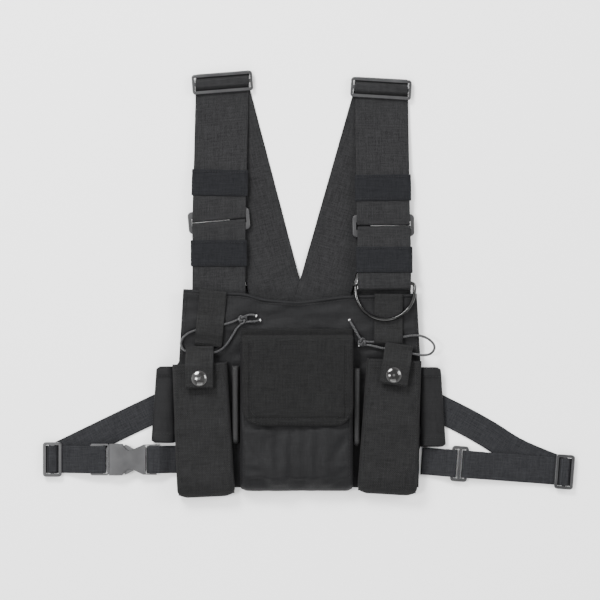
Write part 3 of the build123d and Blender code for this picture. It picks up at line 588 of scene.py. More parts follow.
area_light("key", (-0.7, 1.25, 1.3), (0, 0, 0), 0.8, 0.5, 56)
area_light("side", (1.3, 0.5, 1.2), (0, 0, 0), 0.7, 0.7, 18)
area_light("fill", (0.0, -1.3, 1.6), (0, 0, 0), 1.4, 0.8, 12)
area_light("glint", (-0.88, -0.02, 1.8), (0, 0, 0), 0.34, 0.42, 24)

world = bpy.data.worlds.new("studio")
world.use_nodes = True
world.node_tree.nodes["Background"].inputs["Color"].default_value = (1, 1, 1, 1)
world.node_tree.nodes["Background"].inputs["Strength"].default_value = 1.1
bpy.context.scene.world = world

floor = make_object("table", [(-2, -2, 0), (2, -2, 0), (2, 2, 0), (-2, 2, 0)], [(0, 1, 2, 3)])
floor.location.z = -0.0003
table_white = Tree("table_white")
table_white.fill(table_white.shader, {"Base Color": (0.95, 0.95, 0.95, 1), "Roughness": 0.9})
paint(floor, table_white.material)


# ---- elastic cords ----
# Route points on the pack: across, up, and out from the panel's back.
left_route = [
    (-41.6, 13.6, 5.4), (-46.4, 15.4, 5.5), (-52.4, 13.4, 6.2), (-60.0, 9.4, 5.8), (-71.0, 5.6, 5.4),
    (-85.5, 2.9, 5.4), (-98.0, 0.6, 5.4), (-107.6, -3.2, 5.7), (-113.4, -9.8, 6.6), (-112.6, -17.4, 7.4),
    (-105.4, -21.4, 7.8), (-92.5, -20.0, 7.8), (-79.8, -21.6, 7.6), (-71.0, -15.8, 6.4), (-64.2, -5.2, 5.5),
    (-58.6, 4.4, 5.6), (-50.6, 8.4, 6.2), (-44.0, 8.0, 5.5), (-37.8, 9.6, 5.4),
]
right_route = [
    (46.8, 9.8, 5.6), (52.4, 0.6, 7.2), (57.0, -8.6, 6.2), (63.6, -11.2, 6.0), (72.6, -11.0, 5.4),
    (85.4, -8.7, 5.4), (98.2, -6.3, 5.4), (106.6, -4.9, 5.5), (114.6, -4.8, 6.0), (123.4, -8.6, 7.0),
    (128.8, -15.4, 7.8), (125.0, -22.6, 8.0), (116.4, -24.0, 8.0), (105.4, -21.9, 7.8), (93.0, -19.2, 7.8),
    (80.6, -17.6, 7.6), (71.4, -15.4, 6.2), (62.6, -13.4, 6.2), (56.0, -14.4, 5.5),
]
CORD = 2.3


def cord_curve(name, points, diameter):
    data = bpy.data.curves.new(name, "CURVE")
    data.dimensions = "3D"
    spline = data.splines.new("NURBS")
    spline.points.add(len(points) - 1)
    for target, point in zip(spline.points, points):
        target.co = (*point, 1)
    spline.order_u = 3
    spline.use_endpoint_u = True
    spline.resolution_u = 10
    data.bevel_depth = diameter / 2 * MM
    data.bevel_resolution = 5
    data.use_fill_caps = True
    obj = bpy.data.objects.new(name, data)
    bpy.context.scene.collection.objects.link(obj)
    return obj


KNOT_POINTS = 72


def knot_piece(name, across, up, out, radius, depth, spin):
    """A pulled-tight knot: three interlaced turns of the cord."""
    place = on_pack(across, up, spin)
    points = []
    for t in turns(KNOT_POINTS):
        r = radius * (2.0 + cos(3 * t)) / 3.0
        points.append(place.at(r * cos(2 * t), r * sin(2 * t), out + depth * sin(3 * t)))
    rings = []
    for k, point in enumerate(points):
        ahead = (points[(k + 1) % KNOT_POINTS] - points[k - 1]).normalized()
        rings.append(round_about(point, ahead, place.out, CORD / 2 * MM, 10))
    rings.append(rings[0])
    uv = [[(c * 0.0007, k * 0.0006) for c in range(10)] for k in range(len(rings))]
    return skin(name, rings, uv, closed_ends=False)


TIP_SHAPE = ((-0.5, 1.22), (0.3, 1.24), (0.62, 1.0), (0.7, 0.4))    # (past the cord's end, radius)


def free_cord(side, route, knot_at):
    """A cord along its route, its knot, and the pale core that shows at its two cut ends."""
    points = [PACK.at(*point) for point in route]
    knot = knot_piece(f"{side}_knot", *knot_at)
    finish_piece(knot, cord_cloth, "elastic_cord", "pack", f"{side}_cord_knot")
    cord = cord_curve(f"{side}_elastic_cord", points, CORD)
    finish_piece(cord, cord_cloth, "elastic_cord", "pack", f"{side}_cord")
    tips = []
    for end, inner in ((points[0], points[1]), (points[-1], points[-2])):
        d = (end - inner).normalized()
        rings = [round_about(end + d * past * MM, d, PACK.out, r * MM, 12) for past, r in TIP_SHAPE]
        tips.append(skin(f"{side}_tip", rings, [[(0, 0)] * 12] * len(TIP_SHAPE)))
    tip = join(f"{side}_cord_tips", tips)
    finish_piece(tip, tip_cloth, "elastic_cord", "pack")


tip_cloth = cloth_material("cut_cord_core", (0.45, 0.45, 0.45), (0.75, 0.75, 0.74), (0.5, 0.5), "plain",
                           from_uv=False, relief=0.1, roughness=0.8)
free_cord("left", left_route, (-54.6, 10.2, 6.9, 3.6, 1.5, 20))
free_cord("right", right_route, (58.9, -11.2, 6.9, 3.3, 1.5, 70))

# ---- yoke ----
UP = Vector((0, 0, 1))
YOKE_HALF = (58.0, 44.0)
YOKE_CORNER = 14.0


def rounded_square(x, y, half_x, half_y, corner):
    """Maps the square from -1 to 1 to a rectangle with rounded corners."""
    m = max(abs(x), abs(y), 1e-6)
    edge = Vector((x / m * half_x, y / m * half_y))
    over = Vector((abs(edge.x) - half_x + corner, abs(edge.y) - half_y + corner))
    if min(over) > 0 and over.length > corner:
        over *= 1 - corner / over.length
        edge -= Vector((copysign(over.x, x), copysign(over.y, y)))
    return edge * m


def yoke_point(a, b):
    p = rounded_square(2 * a - 1, 2 * b - 1, *YOKE_HALF, YOKE_CORNER)
    return Vector((p.x, p.y, YOKE / 2)) * MM, UP, (p.x * MM, p.y * MM)


def yoke_ring(inset, corner):
    """A line of stitches round the yoke, inset from its edge."""
    points = []
    for a in spread(0.0, 2 * pi, 96):
        x, y = cos(a), sin(a)
        m = max(abs(x), abs(y))
        p = rounded_square(x / m, y / m, YOKE_HALF[0] - inset, YOKE_HALF[1] - inset, corner)
        points.append(Vector((p.x, p.y, YOKE)) * MM)
    return points


yoke = sheet_grid("yoke", 48, 40, yoke_point, YOKE)
finish_piece(yoke, pouch_cloth, "yoke_fabric", "pack", "yoke_patch")
yoke_thread = sew("yoke_stitching", [(yoke_ring(3, 12), UP), (yoke_ring(6.5, 9), UP)], "yoke_fabric", "pack")

# ---- shoulder straps ----
BAR_UNDER = 2.35           # middle of webbing that passes under a top slider's bar
OVER = 0.1 + WEB / 2       # from a bar's face to the middle of webbing that lies on it
BAR_THICK = 2.4
RING_UNDER = 4.9
RING_FRONT = RING_UNDER + BAR_THICK + OVER
RING_BACK = RING_UNDER - OVER
RING_LEVEL = 11.6
LEFT_RING = (-77.2, 104.0)
RIGHT_RING = (79.4, 99.3)
LEFT_RUN = 131.6
RIGHT_RUN = 130.7
FOLD = 1.05
LEFT_HEADING = 88.6
RIGHT_HEADING = 90.8


def front_slope(run):
    return (RING_FRONT - BAR_UNDER) / (run - 13 - RING_LEVEL)


def front_height(s, run):
    return RING_FRONT - max(s - RING_LEVEL, 0) * front_slope(run)


def shoulder(side, ring, heading, run, folds, back, back_heading, back_run, yoke_run, rise, level, seed):
    """One length of webbing, from the tail behind the ring, round the ring, up to the slider and back."""
    place = run_frame(*ring, heading)
    points = [
        (62.0, front_height(62.0, run) - LAYER_STEP), (20.4, front_height(20.4, run) - LAYER_STEP),
        (10.9, RING_BACK), (FOLD, RING_BACK), (FOLD, RING_FRONT), (RING_LEVEL, RING_FRONT),
        (run - 13.0, BAR_UNDER), (run - 5.6, BAR_UNDER), (run - 2.8, 7.0), (run + 2.8, 7.0),
        (run + 5.7, BAR_UNDER + 0.1), (run + 9.4, BAR_UNDER + 0.1), (run + 9.4, TABLE_LAYER),
        (run - 8.0, TABLE_LAYER),
    ]
    radii = [4, 4, 0.9, 1.7, 8, 20, 1.6, 1.2, 1.2, 1.2, 0.82, 0.82]
    front = strap(f"{side}_front", place, points, radii, SHOULDER_WIDTH, folds[0], seed=seed, lift=0.1,
                  end_fold=folds[1])
    back_points = [(-back_run, TABLE_LAYER + 0.02), (-rise, TABLE_LAYER + 0.02), (-12.0, level),
                   (yoke_run, level)]
    rear = strap(f"{side}_rear", run_frame(*back, back_heading), back_points, [30, 30], SHOULDER_WIDTH,
                 seed=seed + 5, lift=0.1)
    piece = join(f"{side}_shoulder_webbing", [front, rear])
    finish_piece(piece, webbing_cloth, "shoulder_webbing", "pack", f"{side}_shoulder_strap")


shoulder("left", LEFT_RING, LEFT_HEADING, LEFT_RUN, (5.0, 4.5), (-24.2, 40.3), -75.3, 200.0, 78.0, 38.0,
         YOKE + WEB / 2, 1.0)
shoulder("right", RIGHT_RING, RIGHT_HEADING, RIGHT_RUN, (1.0, -3.5), (24.0, 39.8), -105.9, 197.0, 77.0,
         50.0, YOKE + 1.5 * WEB, 2.0)

D_BAR_UP = 44.6
D_BAR_Z = PACK_LIFT + 0.04 * D_BAR_UP + 5.6
D_WIRE = 3.3
HUMP_Z = D_BAR_Z + D_WIRE / 2 + 0.3 + WEB / 2
D_BAR_RUN = D_BAR_UP - RIGHT_RING[1]
RIGHT_LOWER_X = 80.0
RIGHT_SLOPE = (HUMP_Z - RING_FRONT) / (-D_BAR_RUN - 4.75)


def under_panel(y):
    return PACK_LIFT + 0.04 * y - WEB / 2 - 0.1


LEFT_SLOPE = (RING_FRONT - under_panel(38)) / 63.25


def left_lower_height(s):
    return RING_FRONT + (s + 2.75) * LEFT_SLOPE


def right_lower_height(s):
    return RING_FRONT - (s + 2.75) * RIGHT_SLOPE


SHOULDER = (webbing_cloth, "shoulder_webbing")
right_line = run_frame(RIGHT_LOWER_X, RIGHT_RING[1], 90)
webbing("left_lower_webbing", "left_lower_strap", *SHOULDER, run_frame(*LEFT_RING, 90), [
    (-90.0, under_panel(14)), (-66.0, under_panel(38)), (-FOLD, RING_FRONT), (-FOLD, RING_BACK),
    (-10.9, RING_BACK), (-15.2, left_lower_height(-15.2) - LAYER_STEP),
    (-42.0, left_lower_height(-42.0) - LAYER_STEP),
], [20, 1.7, 0.9, 2, 2], SHOULDER_WIDTH, 5.0, seed=3.0, lift=0.1)
webbing("right_lower_webbing", "right_lower_strap", *SHOULDER, right_line, [
    (-87.0, under_panel(12.3)), (D_BAR_RUN - 6.4, under_panel(38.2)), (D_BAR_RUN - 4.8, HUMP_Z),
    (D_BAR_RUN + 2.0, HUMP_Z), (-FOLD, RING_FRONT), (-FOLD, RING_BACK), (-11.4, RING_BACK),
    (-19.4, right_lower_height(-19.4) - LAYER_STEP), (-40.0, right_lower_height(-40.0) - LAYER_STEP),
], [1.2, 1.6, 6, 1.7, 0.9, 2, 2], SHOULDER_WIDTH, 1.0, seed=4.0, lift=0.1)
patch_z = D_BAR_Z - D_WIRE / 2 - 0.3 - WEB / 2
webbing("d_ring_backing", "d_ring_patch", *SHOULDER, right_line, [
    (D_BAR_RUN + 4.2, patch_z), (D_BAR_RUN - 2.8, patch_z), (D_BAR_RUN - 2.8, patch_z + 3.4),
], [1.0], SHOULDER_WIDTH - 2, seed=5.0)


# ---- keepers ----
BAND_HALF = SHOULDER_WIDTH / 2 + 0.5
BAND_RISE = (LAYER_STEP + WEB) / 2 + 0.45
# (along the strap, wall thickness): thin at the two ends, and gathered into ribs between
BAND_STATIONS = [(-12.3, 0.0), (-12.45, 0.35), (-12.2, 0.8), (-11.2, 0.95)]
BAND_STATIONS += [(s, 0.9 + 0.1 * cos(pi * k)) for k, s in enumerate(spread(-10.0, 10.0, 12))]
BAND_STATIONS += [(11.2, 0.95), (12.2, 0.8), (12.45, 0.35), (12.3, 0.0)]


def half_band(sign):
    """One broad face of a band's section, then the rounded edge that follows it."""
    face = [Vector((sign * x, sign * BAND_RISE)) for x in spread(-BAND_HALF, BAND_HALF, 23)]
    return face + [Vector((sign * (BAND_HALF + 0.35 * sin(a)), sign * BAND_RISE * cos(a)))
                   for a in spread(0.0, pi, 6)[1:-1]]


def keeper(name, x, y, heading, centre, height, slope):
    """An elastic band round two layers of webbing, with pulled-in edges."""
    plane = run_frame(x, y, heading)
    pitch = atan(-slope)
    place = Frame(plane.at(0, centre, height - LAYER_STEP / 2),
                  plane.along * cos(pitch) + plane.out * sin(pitch),
                  plane.out * cos(pitch) - plane.along * sin(pitch))
    loop = half_band(1) + half_band(-1)
    rings, uv_rings = [], []
    for s, wall in BAND_STATIONS:
        ring = []
        for p in loop:
            n = p.normalized() if abs(abs(p.x) - BAND_HALF) < 1 else Vector((0, copysign(1, p.y)))
            bow = ripple(p.x * 0.09, s * 0.12, height) * 0.16 if wall > 0.5 else 0
            q = p + n * (wall * 0.75 + bow)
            ring.append(place.at(q.x, s, q.y))
        rings.append(ring)
        uv_rings.append([(p.x * MM, s * MM) for p in loop])
    band = skin(f"{name}_elastic_band", rings, uv_rings, closed_ends=False)
    finish_piece(band, elastic_cloth, "elastic_band", f"{name}_keeper", f"{name}_keeper")
    across = spread(1 - BAND_HALF, BAND_HALF - 1, 20)
    rows = [([place.at(x, s, BAND_RISE + 0.78) for x in across], place.out) for s in (-10.3, 10.3)]
    sew(f"{name}_band_stitching", rows, "elastic_band", f"{name}_keeper", 2.4, 1.7, 0.16)


keeper("left_upper", *LEFT_RING, LEFT_HEADING, 36.0, front_height(36.0, LEFT_RUN), front_slope(LEFT_RUN))
keeper("right_upper", *RIGHT_RING, RIGHT_HEADING, 36.0, front_height(36.0, RIGHT_RUN), front_slope(RIGHT_RUN))
keeper("left_lower", *LEFT_RING, 90, -31.0, left_lower_height(-31.0), -LEFT_SLOPE)
keeper("right_lower", RIGHT_LOWER_X, RIGHT_RING[1], 90, -32.7, right_lower_height(-32.7), RIGHT_SLOPE)

# ---- waist webbing ----
SLIDER_UNDER = 3.3
ADJUSTER_UNDER = 2.5
BUCKLE_MIDDLE = 5.7
BUCKLE_BAR_HALF = 1.8
SLIDER_OVER = SLIDER_UNDER + BAR_THICK + OVER
ADJUSTER_ABOVE = ADJUSTER_UNDER + BAR_THICK + OVER
ADJUSTER_BELOW = ADJUSTER_UNDER - OVER
BUCKLE_ABOVE = BUCKLE_MIDDLE + BUCKLE_BAR_HALF + OVER
BUCKLE_BELOW = BUCKLE_MIDDLE - BUCKLE_BAR_HALF - OVER
LEFT_END = (-236.0, -123.4)
RIGHT_END = (252.0, -135.3)
RIGHT_LINE = -4.4
ADJUSTER = (152.0, -127.6)
end_points = [
    (-12.0, BAR_UNDER), (-5.2, BAR_UNDER), (-2.9, SLIDER_OVER), (2.9, SLIDER_OVER), (5.2, BAR_UNDER + 0.1),
    (8.6, BAR_UNDER + 0.1), (8.6, TABLE_LAYER), (-6.0, TABLE_LAYER),
]
end_radii = [1.6, 1.2, 1.2, 1.2, 0.82, 0.82]


def waist(side, place, front_points, centreline, seed):
    """One length of webbing: through its fittings and the end slider, and back under the pack."""
    def height(x):
        return TABLE_LAYER + 0.02 + YOKE * (1 - clamp((abs(x) - 60) / 35))

    front = strap(f"{side}_front", place, front_points + end_points, [1.3, 1.3, 8, 8] + end_radii,
                  WAIST_WIDTH, seed=seed)
    rear = ribbon(f"{side}_rear", centreline, WAIST_WIDTH, height, seed + 1)
    piece = join(f"{side}_waist_webbing", [front, rear])
    finish_piece(piece, waist_cloth, "waist_webbing", "pack", f"{side}_waist_strap")


waist("left", run_frame(*LEFT_END, 180),
      [(-28.0, BUCKLE_BELOW), (-50.5, BUCKLE_BELOW), (-50.5, BUCKLE_ABOVE), (-33.5, BUCKLE_ABOVE)],
      [(-37, -28.5), (-141.0, -76.8), (-234.0, -121.6)], 6.0)
waist("right", run_frame(*RIGHT_END, RIGHT_LINE),
      [(-78.0, ADJUSTER_BELOW), (-97.2, ADJUSTER_BELOW), (-97.2, ADJUSTER_ABOVE), (-90.0, ADJUSTER_ABOVE)],
      [(37, -29.0), (137.8, -77.3), (176.7, -97.9), (207.0, -116.5), (249.0, -134.2)], 8.0)

webbing("left_pack_strap", "left_pack_webbing", waist_cloth, "waist_webbing",
        run_frame(-121.0, LEFT_END[1], 180), [
            (-4.7, 3.3), (2.5, 3.3), (13.0, BUCKLE_ABOVE), (24.3, BUCKLE_ABOVE), (24.3, BUCKLE_BELOW),
            (13.5, BUCKLE_BELOW)], [3, 3, 1.3, 1.3], WAIST_WIDTH, seed=10.0)
webbing("right_pack_strap", "right_pack_webbing", waist_cloth, "waist_webbing",
        run_frame(*ADJUSTER, RIGHT_LINE), [
            (-36.5, 3.3), (-28.0, 3.3), (-13.0, ADJUSTER_ABOVE), (-3.3, ADJUSTER_ABOVE),
            (-3.3, ADJUSTER_BELOW), (-14.0, ADJUSTER_BELOW)], [6, 6, 1.3, 1.3], WAIST_WIDTH, seed=11.0)

# ---- main panel ----
top_edge = [
    (-110.8, 38.0), (-69.4, 35.4), (-52.3, 34.0), (-36.0, 29.6), (-19.0, 27.6), (0.0, 26.6),
    (26.6, 30.0), (43.4, 31.8), (75.0, 32.8), (111.0, 33.6),
]
top_line = smooth_line(top_edge, 3.0)
left_side = [(-150.0, -115.4), (-112.0, -116.2), (-106.0, -120.7), (-40.0, -120.7), (-33.0, -115.2),
             (38.0, -110.8)]
right_side = [(-150.0, 113.0), (-114.0, 113.7), (-109.0, 115.3), (-36.0, 115.3), (-30.0, 114.6), (34.0, 111.0)]
top_table = [(p.x, p.y) for p in top_line]
BOTTOM = -150.0


def panel_dent(u, v):
    """Gentle diagonal drags in the bare cloth above the pouches, in millimetres; none at its lower edge."""
    drag = ripple(u * 0.03 + v * 0.05, v * 0.085 - u * 0.02, 7.0) * 1.25 + ripple(u * 0.09, v * 0.12, 2.0) * 0.4
    return clamp(drag * 1.5 - 0.8, -1.5, 0.0) * clamp((v + 140) / 50)


def panel_point(a, b):
    v = BOTTOM + 184.0 * b
    u = lookup(left_side, v) * (1 - a) + lookup(right_side, v) * a
    v = BOTTOM + (lookup(top_table, u) - BOTTOM) * b
    return PACK.at(u, v, PANEL / 2 + panel_dent(u, v)), PACK.out, (u * MM, v * MM)


panel = sheet_grid("padded_panel", 160, 128, panel_point, PANEL - 0.2, (0.8, 0.95, 1.0))
finish_piece(panel, panel_cloth, "pack_fabric", "pack", "main_panel")

# (across the binding, out from the panel's back)
binding_section = [(cos(a) * 1.7 - 0.55, 2.1 + 2.1 * soft(sin(a), 0.6)) for a in turns(16)]
binding_rings = [[PACK.at(p.x + n.x * over, p.y + n.y * over, out) for over, out in binding_section]
                 for p, n in zip(top_line, path_normals(top_line))]
binding_uv = [[(c * 0.0006, length * MM) for c in range(16)] for length in distances(top_line)]
binding = skin("top_binding", binding_rings, binding_uv)
finish_piece(binding, panel_cloth, "binding_tape", "pack", "panel_binding")

panel_rows = [
    [(p.x, p.y - 3.2) for p in top_line],
    [(lookup(left_side, v) + 3.0, v) for v in range(-30, 34, 2)],
    [(lookup(right_side, v) - 3.0, v) for v in range(-26, 30, 2)],
]
sew("panel_stitching", [([PACK.at(u, v, PANEL - 0.15) for u, v in row], PACK.out) for row in panel_rows],
    "pack_fabric", "pack")


# ---- loose cloth ----
SIMULATED_FRAMES = 24


def settle(obj, freedom, excess, cap):
    """Lets slightly oversized cloth buckle between its seams, by cloth simulation.

    freedom(point) is 0 at a seam and 1 on free cloth; cap is the furthest a point may move, in millimetres.
    """
    mesh = obj.data
    start = [v.co.copy() for v in mesh.vertices]
    loose = [freedom(p) for p in start]
    seams = obj.vertex_groups.new(name="seams")
    seams.add([k for k, share in enumerate(loose) if share <= 0.02], 1.0, "REPLACE")
    cloth = obj.modifiers.new("drape", "CLOTH")
    settings = {
        "quality": 7, "mass": 0.12, "tension_stiffness": 12, "compression_stiffness": 12, "shear_stiffness": 4,
        "bending_stiffness": 0.35, "air_damping": 2, "shrink_min": -excess, "vertex_group_mass": seams.name,
    }
    for key, value in settings.items():
        setattr(cloth.settings, key, value)
    cloth.settings.effector_weights.gravity = 0
    cloth.collision_settings.use_collision = False
    cloth.point_cache.frame_start = 1
    cloth.point_cache.frame_end = SIMULATED_FRAMES
    for step in range(1, SIMULATED_FRAMES + 1):
        bpy.context.scene.frame_set(step)
    settled = obj.evaluated_get(bpy.context.evaluated_depsgraph_get()).to_mesh()
    moved = [v.co - p for v, p in zip(settled.vertices, start)]
    obj.evaluated_get(bpy.context.evaluated_depsgraph_get()).to_mesh_clear()
    obj.modifiers.remove(cloth)
    obj.vertex_groups.remove(seams)
    bpy.context.scene.frame_set(1)
    for vertex, delta, share in zip(mesh.vertices, moved, loose):
        if delta.length > cap * MM:
            delta = delta.normalized() * cap * MM
        vertex.co += delta * share
    mesh.update()


# ---- pouches ----
ROLL = 2.6                 # radius of a pouch's front edges, and the furthest that its loose cloth moves


def pouch(name, node, material, place, halves, length, profile, corner, bulge, seed, held, hem=7.0, wall=1.3,
          excess=0.006, ridges=0.0):
    """A sewn pouch: a front that rolls over into side gussets, hollow and open at its top.

    halves are its half widths at the mouth and the bottom, profile its depth by the distance down, and held
    the (across, down, reach) of places where its front can't move.
    """
    rows, front_columns, side_columns = int(length / 2.0), 34, 6

    def half_at(b):
        return halves[0] + (halves[1] - halves[0]) * b / length

    outer, uvs = [], []
    for j in range(rows + 1):
        b = length * j / rows
        half = half_at(b) - arc_drop(corner, corner - (length - b))
        depth = lookup(profile, b)
        roll = min(ROLL, (depth - PANEL) * 0.4)
        rise = depth - roll - PANEL
        gusset = [(half + 0.25 * sin(pi * t), PANEL + rise * t) for t in spread(0, 1, side_columns)[:-1]]
        row = [(-x, w) for x, w in gusset]
        for t in spread(0, 1, front_columns):
            x = -half + 2 * half * t
            d = min(x + half, half - x)
            puff = bulge * (1 - (2 * t - 1) ** 2) * sin(pi * clamp(b / length, 0.03, 0.97)) ** 0.7
            fold = ripple(x * 0.045 + seed, b * 0.028, seed) * 0.9
            fold += ripple(x * 0.14, b * 0.06 + seed, 4.0) * 0.28
            fold += ridges * ripple(x * 0.1, b * 0.01, seed + 2) * clamp((b - 70) / 40)
            ease = min(1.0, d / 7.0) * min(1.0, b / 6.0 + 0.35)
            row.append((x, depth - arc_drop(roll, roll - d) + (puff + fold) * ease - 0.55))
        row += gusset[::-1]
        outer.append([place.at(x, -b, w) for x, w in row])
        uvs += [((girth - half - depth) * MM, b * MM) for girth in distances([Vector(p) for p in row])]
    # the bottom closes down to the panel
    low = [p - place.out * max((p - place.origin).dot(place.out) - PANEL * MM, 0.0) + place.along * 0.2 * MM
           for p in outer[-1]]
    n = len(low)
    uvs += [(u, (length + 6) * MM) for u, _ in uvs[-n:]]
    faces = [(j * n + k, j * n + k + 1, (j + 1) * n + k + 1, (j + 1) * n + k)
             for j in range(rows + 1) for k in range(n - 1)]
    shell = make_object(f"{name}_shell", [p for row in outer + [low] for p in row], faces, uvs)
    bpy.context.view_layer.objects.active = shell
    bm = bmesh.new()
    bm.from_mesh(shell.data)
    bmesh.ops.remove_doubles(bm, verts=bm.verts, dist=0.00002)
    bmesh.ops.recalc_face_normals(bm, faces=bm.faces)
    top = max(bm.faces, key=lambda f: f.calc_center_median().dot(place.out))
    if top.normal.dot(place.out) < 0:
        bmesh.ops.reverse_faces(bm, faces=bm.faces)
    bm.to_mesh(shell.data)
    bm.free()

    def freedom(point):
        """Cloth is held at its seams and hem, and round the places in held."""
        offset = (point - place.origin) / MM
        x, b = offset.dot(place.across), -offset.dot(place.along)
        share = eased((half_at(b) - abs(x) - 1.0) / 7) * eased((b - hem) / 9) * eased((length - 1.5 - b) / 8)
        for hx, hb, reach in held:
            share *= eased((sqrt((x - hx) ** 2 + (b - hb) ** 2) - reach) / 8)
        return share

    settle(shell, freedom, excess, ROLL)
    tree = BVHTree.FromObject(shell, bpy.context.evaluated_depsgraph_get())
    solid = shell.modifiers.new("wall", "SOLIDIFY")
    solid.thickness = wall * MM
    solid.offset = -1
    bpy.ops.object.select_all(action="DESELECT")
    shell.select_set(True)
    bpy.ops.object.modifier_apply(modifier="wall")

    def back_point(a, b):
        x = (half_at(b * length) - 0.6) * (2 * a - 1)
        return place.at(x, -(length - 2) * b, PANEL + 0.75), place.out, (x * MM, length * b * MM)

    lining = sheet_grid(f"{name}_back", 12, 24, back_point, 1.2)
    finish_piece(join(name, [shell, lining]), material, "pack_fabric", "pack", node)

    def surface(x, b):
        """The outer face of the cloth, where a thread lies."""
        hit = tree.ray_cast(place.at(x, -b, 60), -place.out)[0]
        return (hit if hit is not None else place.at(x, -b, lookup(profile, b))) + place.out * 0.05 * MM

    mouth = halves[0] - 1.5
    lines = [[surface(x, b) for x in spread(-mouth, mouth, 40)] for b in (1.6, hem)]
    downs = spread(hem, length - corner - 6, 40)
    lines += [[surface(sign * (half_at(b) - 3.4), b) for b in downs] for sign in (-1, 1)]
    sew(f"{name}_stitching", [(line, place.out) for line in lines], "pack_fabric", "pack", 3.0, 2.2, 0.2)


def radio_profile(length):
    return [(0, 14.0), (60, 19.0), (length - 19, 20.5), (length - 12, 19.4), (length - 6, 17.0),
            (length - 2, 13.0), (length, 9.5)]


for side, place, halves, length, seed, snap in (
        ("left", on_pack(-95.2, -31.4, 2.83), (25.8, 27.3), 127.3, 1.3, 13.5),
        ("right", on_pack(89.5, -28.0, -3.08), (25.7, 28.2), 128.3, 4.7, 13.8)):
    pouch(f"{side}_radio_pouch_cloth", f"{side}_radio_pouch", pouch_cloth, place, halves, length,
          radio_profile(length), 8.0, 0.5, seed, [(0.0, snap, 8.0)])
pouch("centre_pocket_cloth", "centre_pocket", panel_cloth, on_pack(-3.2, -12.0), (53.3, 53.3), 140.8,
      [(0, 13.0), (83, 20.0), (115, 21.6), (126, 20.8), (134, 17.6), (138, 14.2), (140.8, 10.0)], 5.0, 0.2, 9.1,
      [(-16.0, 63.0, 12.0), (0.0, 63.0, 12.0), (16.0, 63.0, 12.0)], hem=8.0, excess=0.035, ridges=3.4)


# ---- sleeves ----
TUBE_COLUMNS = 40


def tube(name, node, material, place, stations, seed, wall=0.7, closed_bottom=False, power=0.55):
    """A soft sleeve: each station is (down, centre across, half width, lowest out, highest out)."""
    def ring_at(station, inset):
        down, centre, half, low, high = station
        ring = []
        for a in turns(TUBE_COLUMNS):
            x = centre + (half - inset) * soft(cos(a), power)
            w = (low + high) / 2 + ((high - low) / 2 - inset) * soft(sin(a), power)
            if sin(a) > 0.3:
                w += ripple(x * 0.1, down * 0.05, seed) * 0.5
            ring.append(place.at(x, -down, w))
        return ring

    order = [(station, 0.0) for station in stations]
    top = stations[0]
    if closed_bottom:
        order = [((top[0] + 12, *top[1:]), wall), (top, wall)] + order
    else:
        order += [(station, wall) for station in stations[::-1]] + order[:1]
    rings = [ring_at(*item) for item in order]
    uv_rings = [[(c * 0.0011, station[0] * MM) for c in range(TUBE_COLUMNS)] for station, _ in order]
    if closed_bottom:
        down, centre, _, low, high = stations[-1]
        rings.append([place.at(centre, -down - 0.3, (low + high) / 2)] * TUBE_COLUMNS)
        uv_rings.append([(0, down * MM)] * TUBE_COLUMNS)
    finish_piece(skin(name, rings, uv_rings, closed_ends=False), material, "pack_fabric", "pack", node)


def pen_stations(length, half_width=3.25):
    stations = []
    for k in range(29):
        down, wave = length * k / 28, sin(pi * k / 28)
        end = max(0.0, 3.0 - (length - down))
        half = half_width * (1.0 - 0.12 * wave) - (half_width - sqrt(max(half_width ** 2 - end ** 2, 0.3)))
        stations.append((down, 0.0, half, 4.1, 13.2 - 0.5 * wave - end * 1.2))
    return stations


def side_stations(length, inner, outer_top, outer_bottom):
    stations = []
    for t in spread(0, 1, 36):
        end = min(t, 1 - t) * length
        outer = outer_top + (outer_bottom - outer_top) * t
        outer -= copysign(arc_drop(3.0, 3.0 - end), outer)
        hem = 1.0 if end < 9 else 0.72
        ridge = 0.25 if abs(end - 9) < 1.2 else 0.0
        high = -1.1 + 7.6 * (0.55 + 0.45 * hem) - ridge
        stations.append((t * length, (inner + outer) / 2, abs(outer - inner) / 2, -1.1, high))
    return stations


for side, place, seed in (("left", on_pack(-61.3, -34.0), 1.0), ("right", on_pack(53.8, -36.0), 2.0)):
    tube(f"{side}_pen_sleeve_cloth", f"{side}_pen_sleeve", tape_cloth, place, pen_stations(74.0), seed,
         closed_bottom=True)
sleeve_rows = []
for side, up, length, inner, top, bottom, sewn_inset, seed in (
        ("left", -34.7, 72.6, -119.6, -136.6, -141.8, (-2.2, 0.6, 0.8), 3.0),
        ("right", -35.5, 75.5, 114.2, 134.0, 139.0, (2.1, -0.6, -0.6), 4.0)):
    tube(f"{side}_side_sleeve_cloth", f"{side}_side_sleeve", panel_cloth, on_pack(0, up),
         side_stations(length, inner, top, bottom), seed, power=0.72)
    inner, top, bottom = (edge + inset for edge, inset in zip((inner, top, bottom), sewn_inset))
    for down in (1.2, 8.6, length - 8.6, length - 1.2):
        outer = top + (bottom - top) * down / length
        sleeve_rows.append(([PACK.at(u, up - down, 6.45) for u in spread(inner, outer, 10)], PACK.out))
sew("side_sleeve_stitching", sleeve_rows, "pack_fabric", "pack", 2.8, 2.1, 0.18)

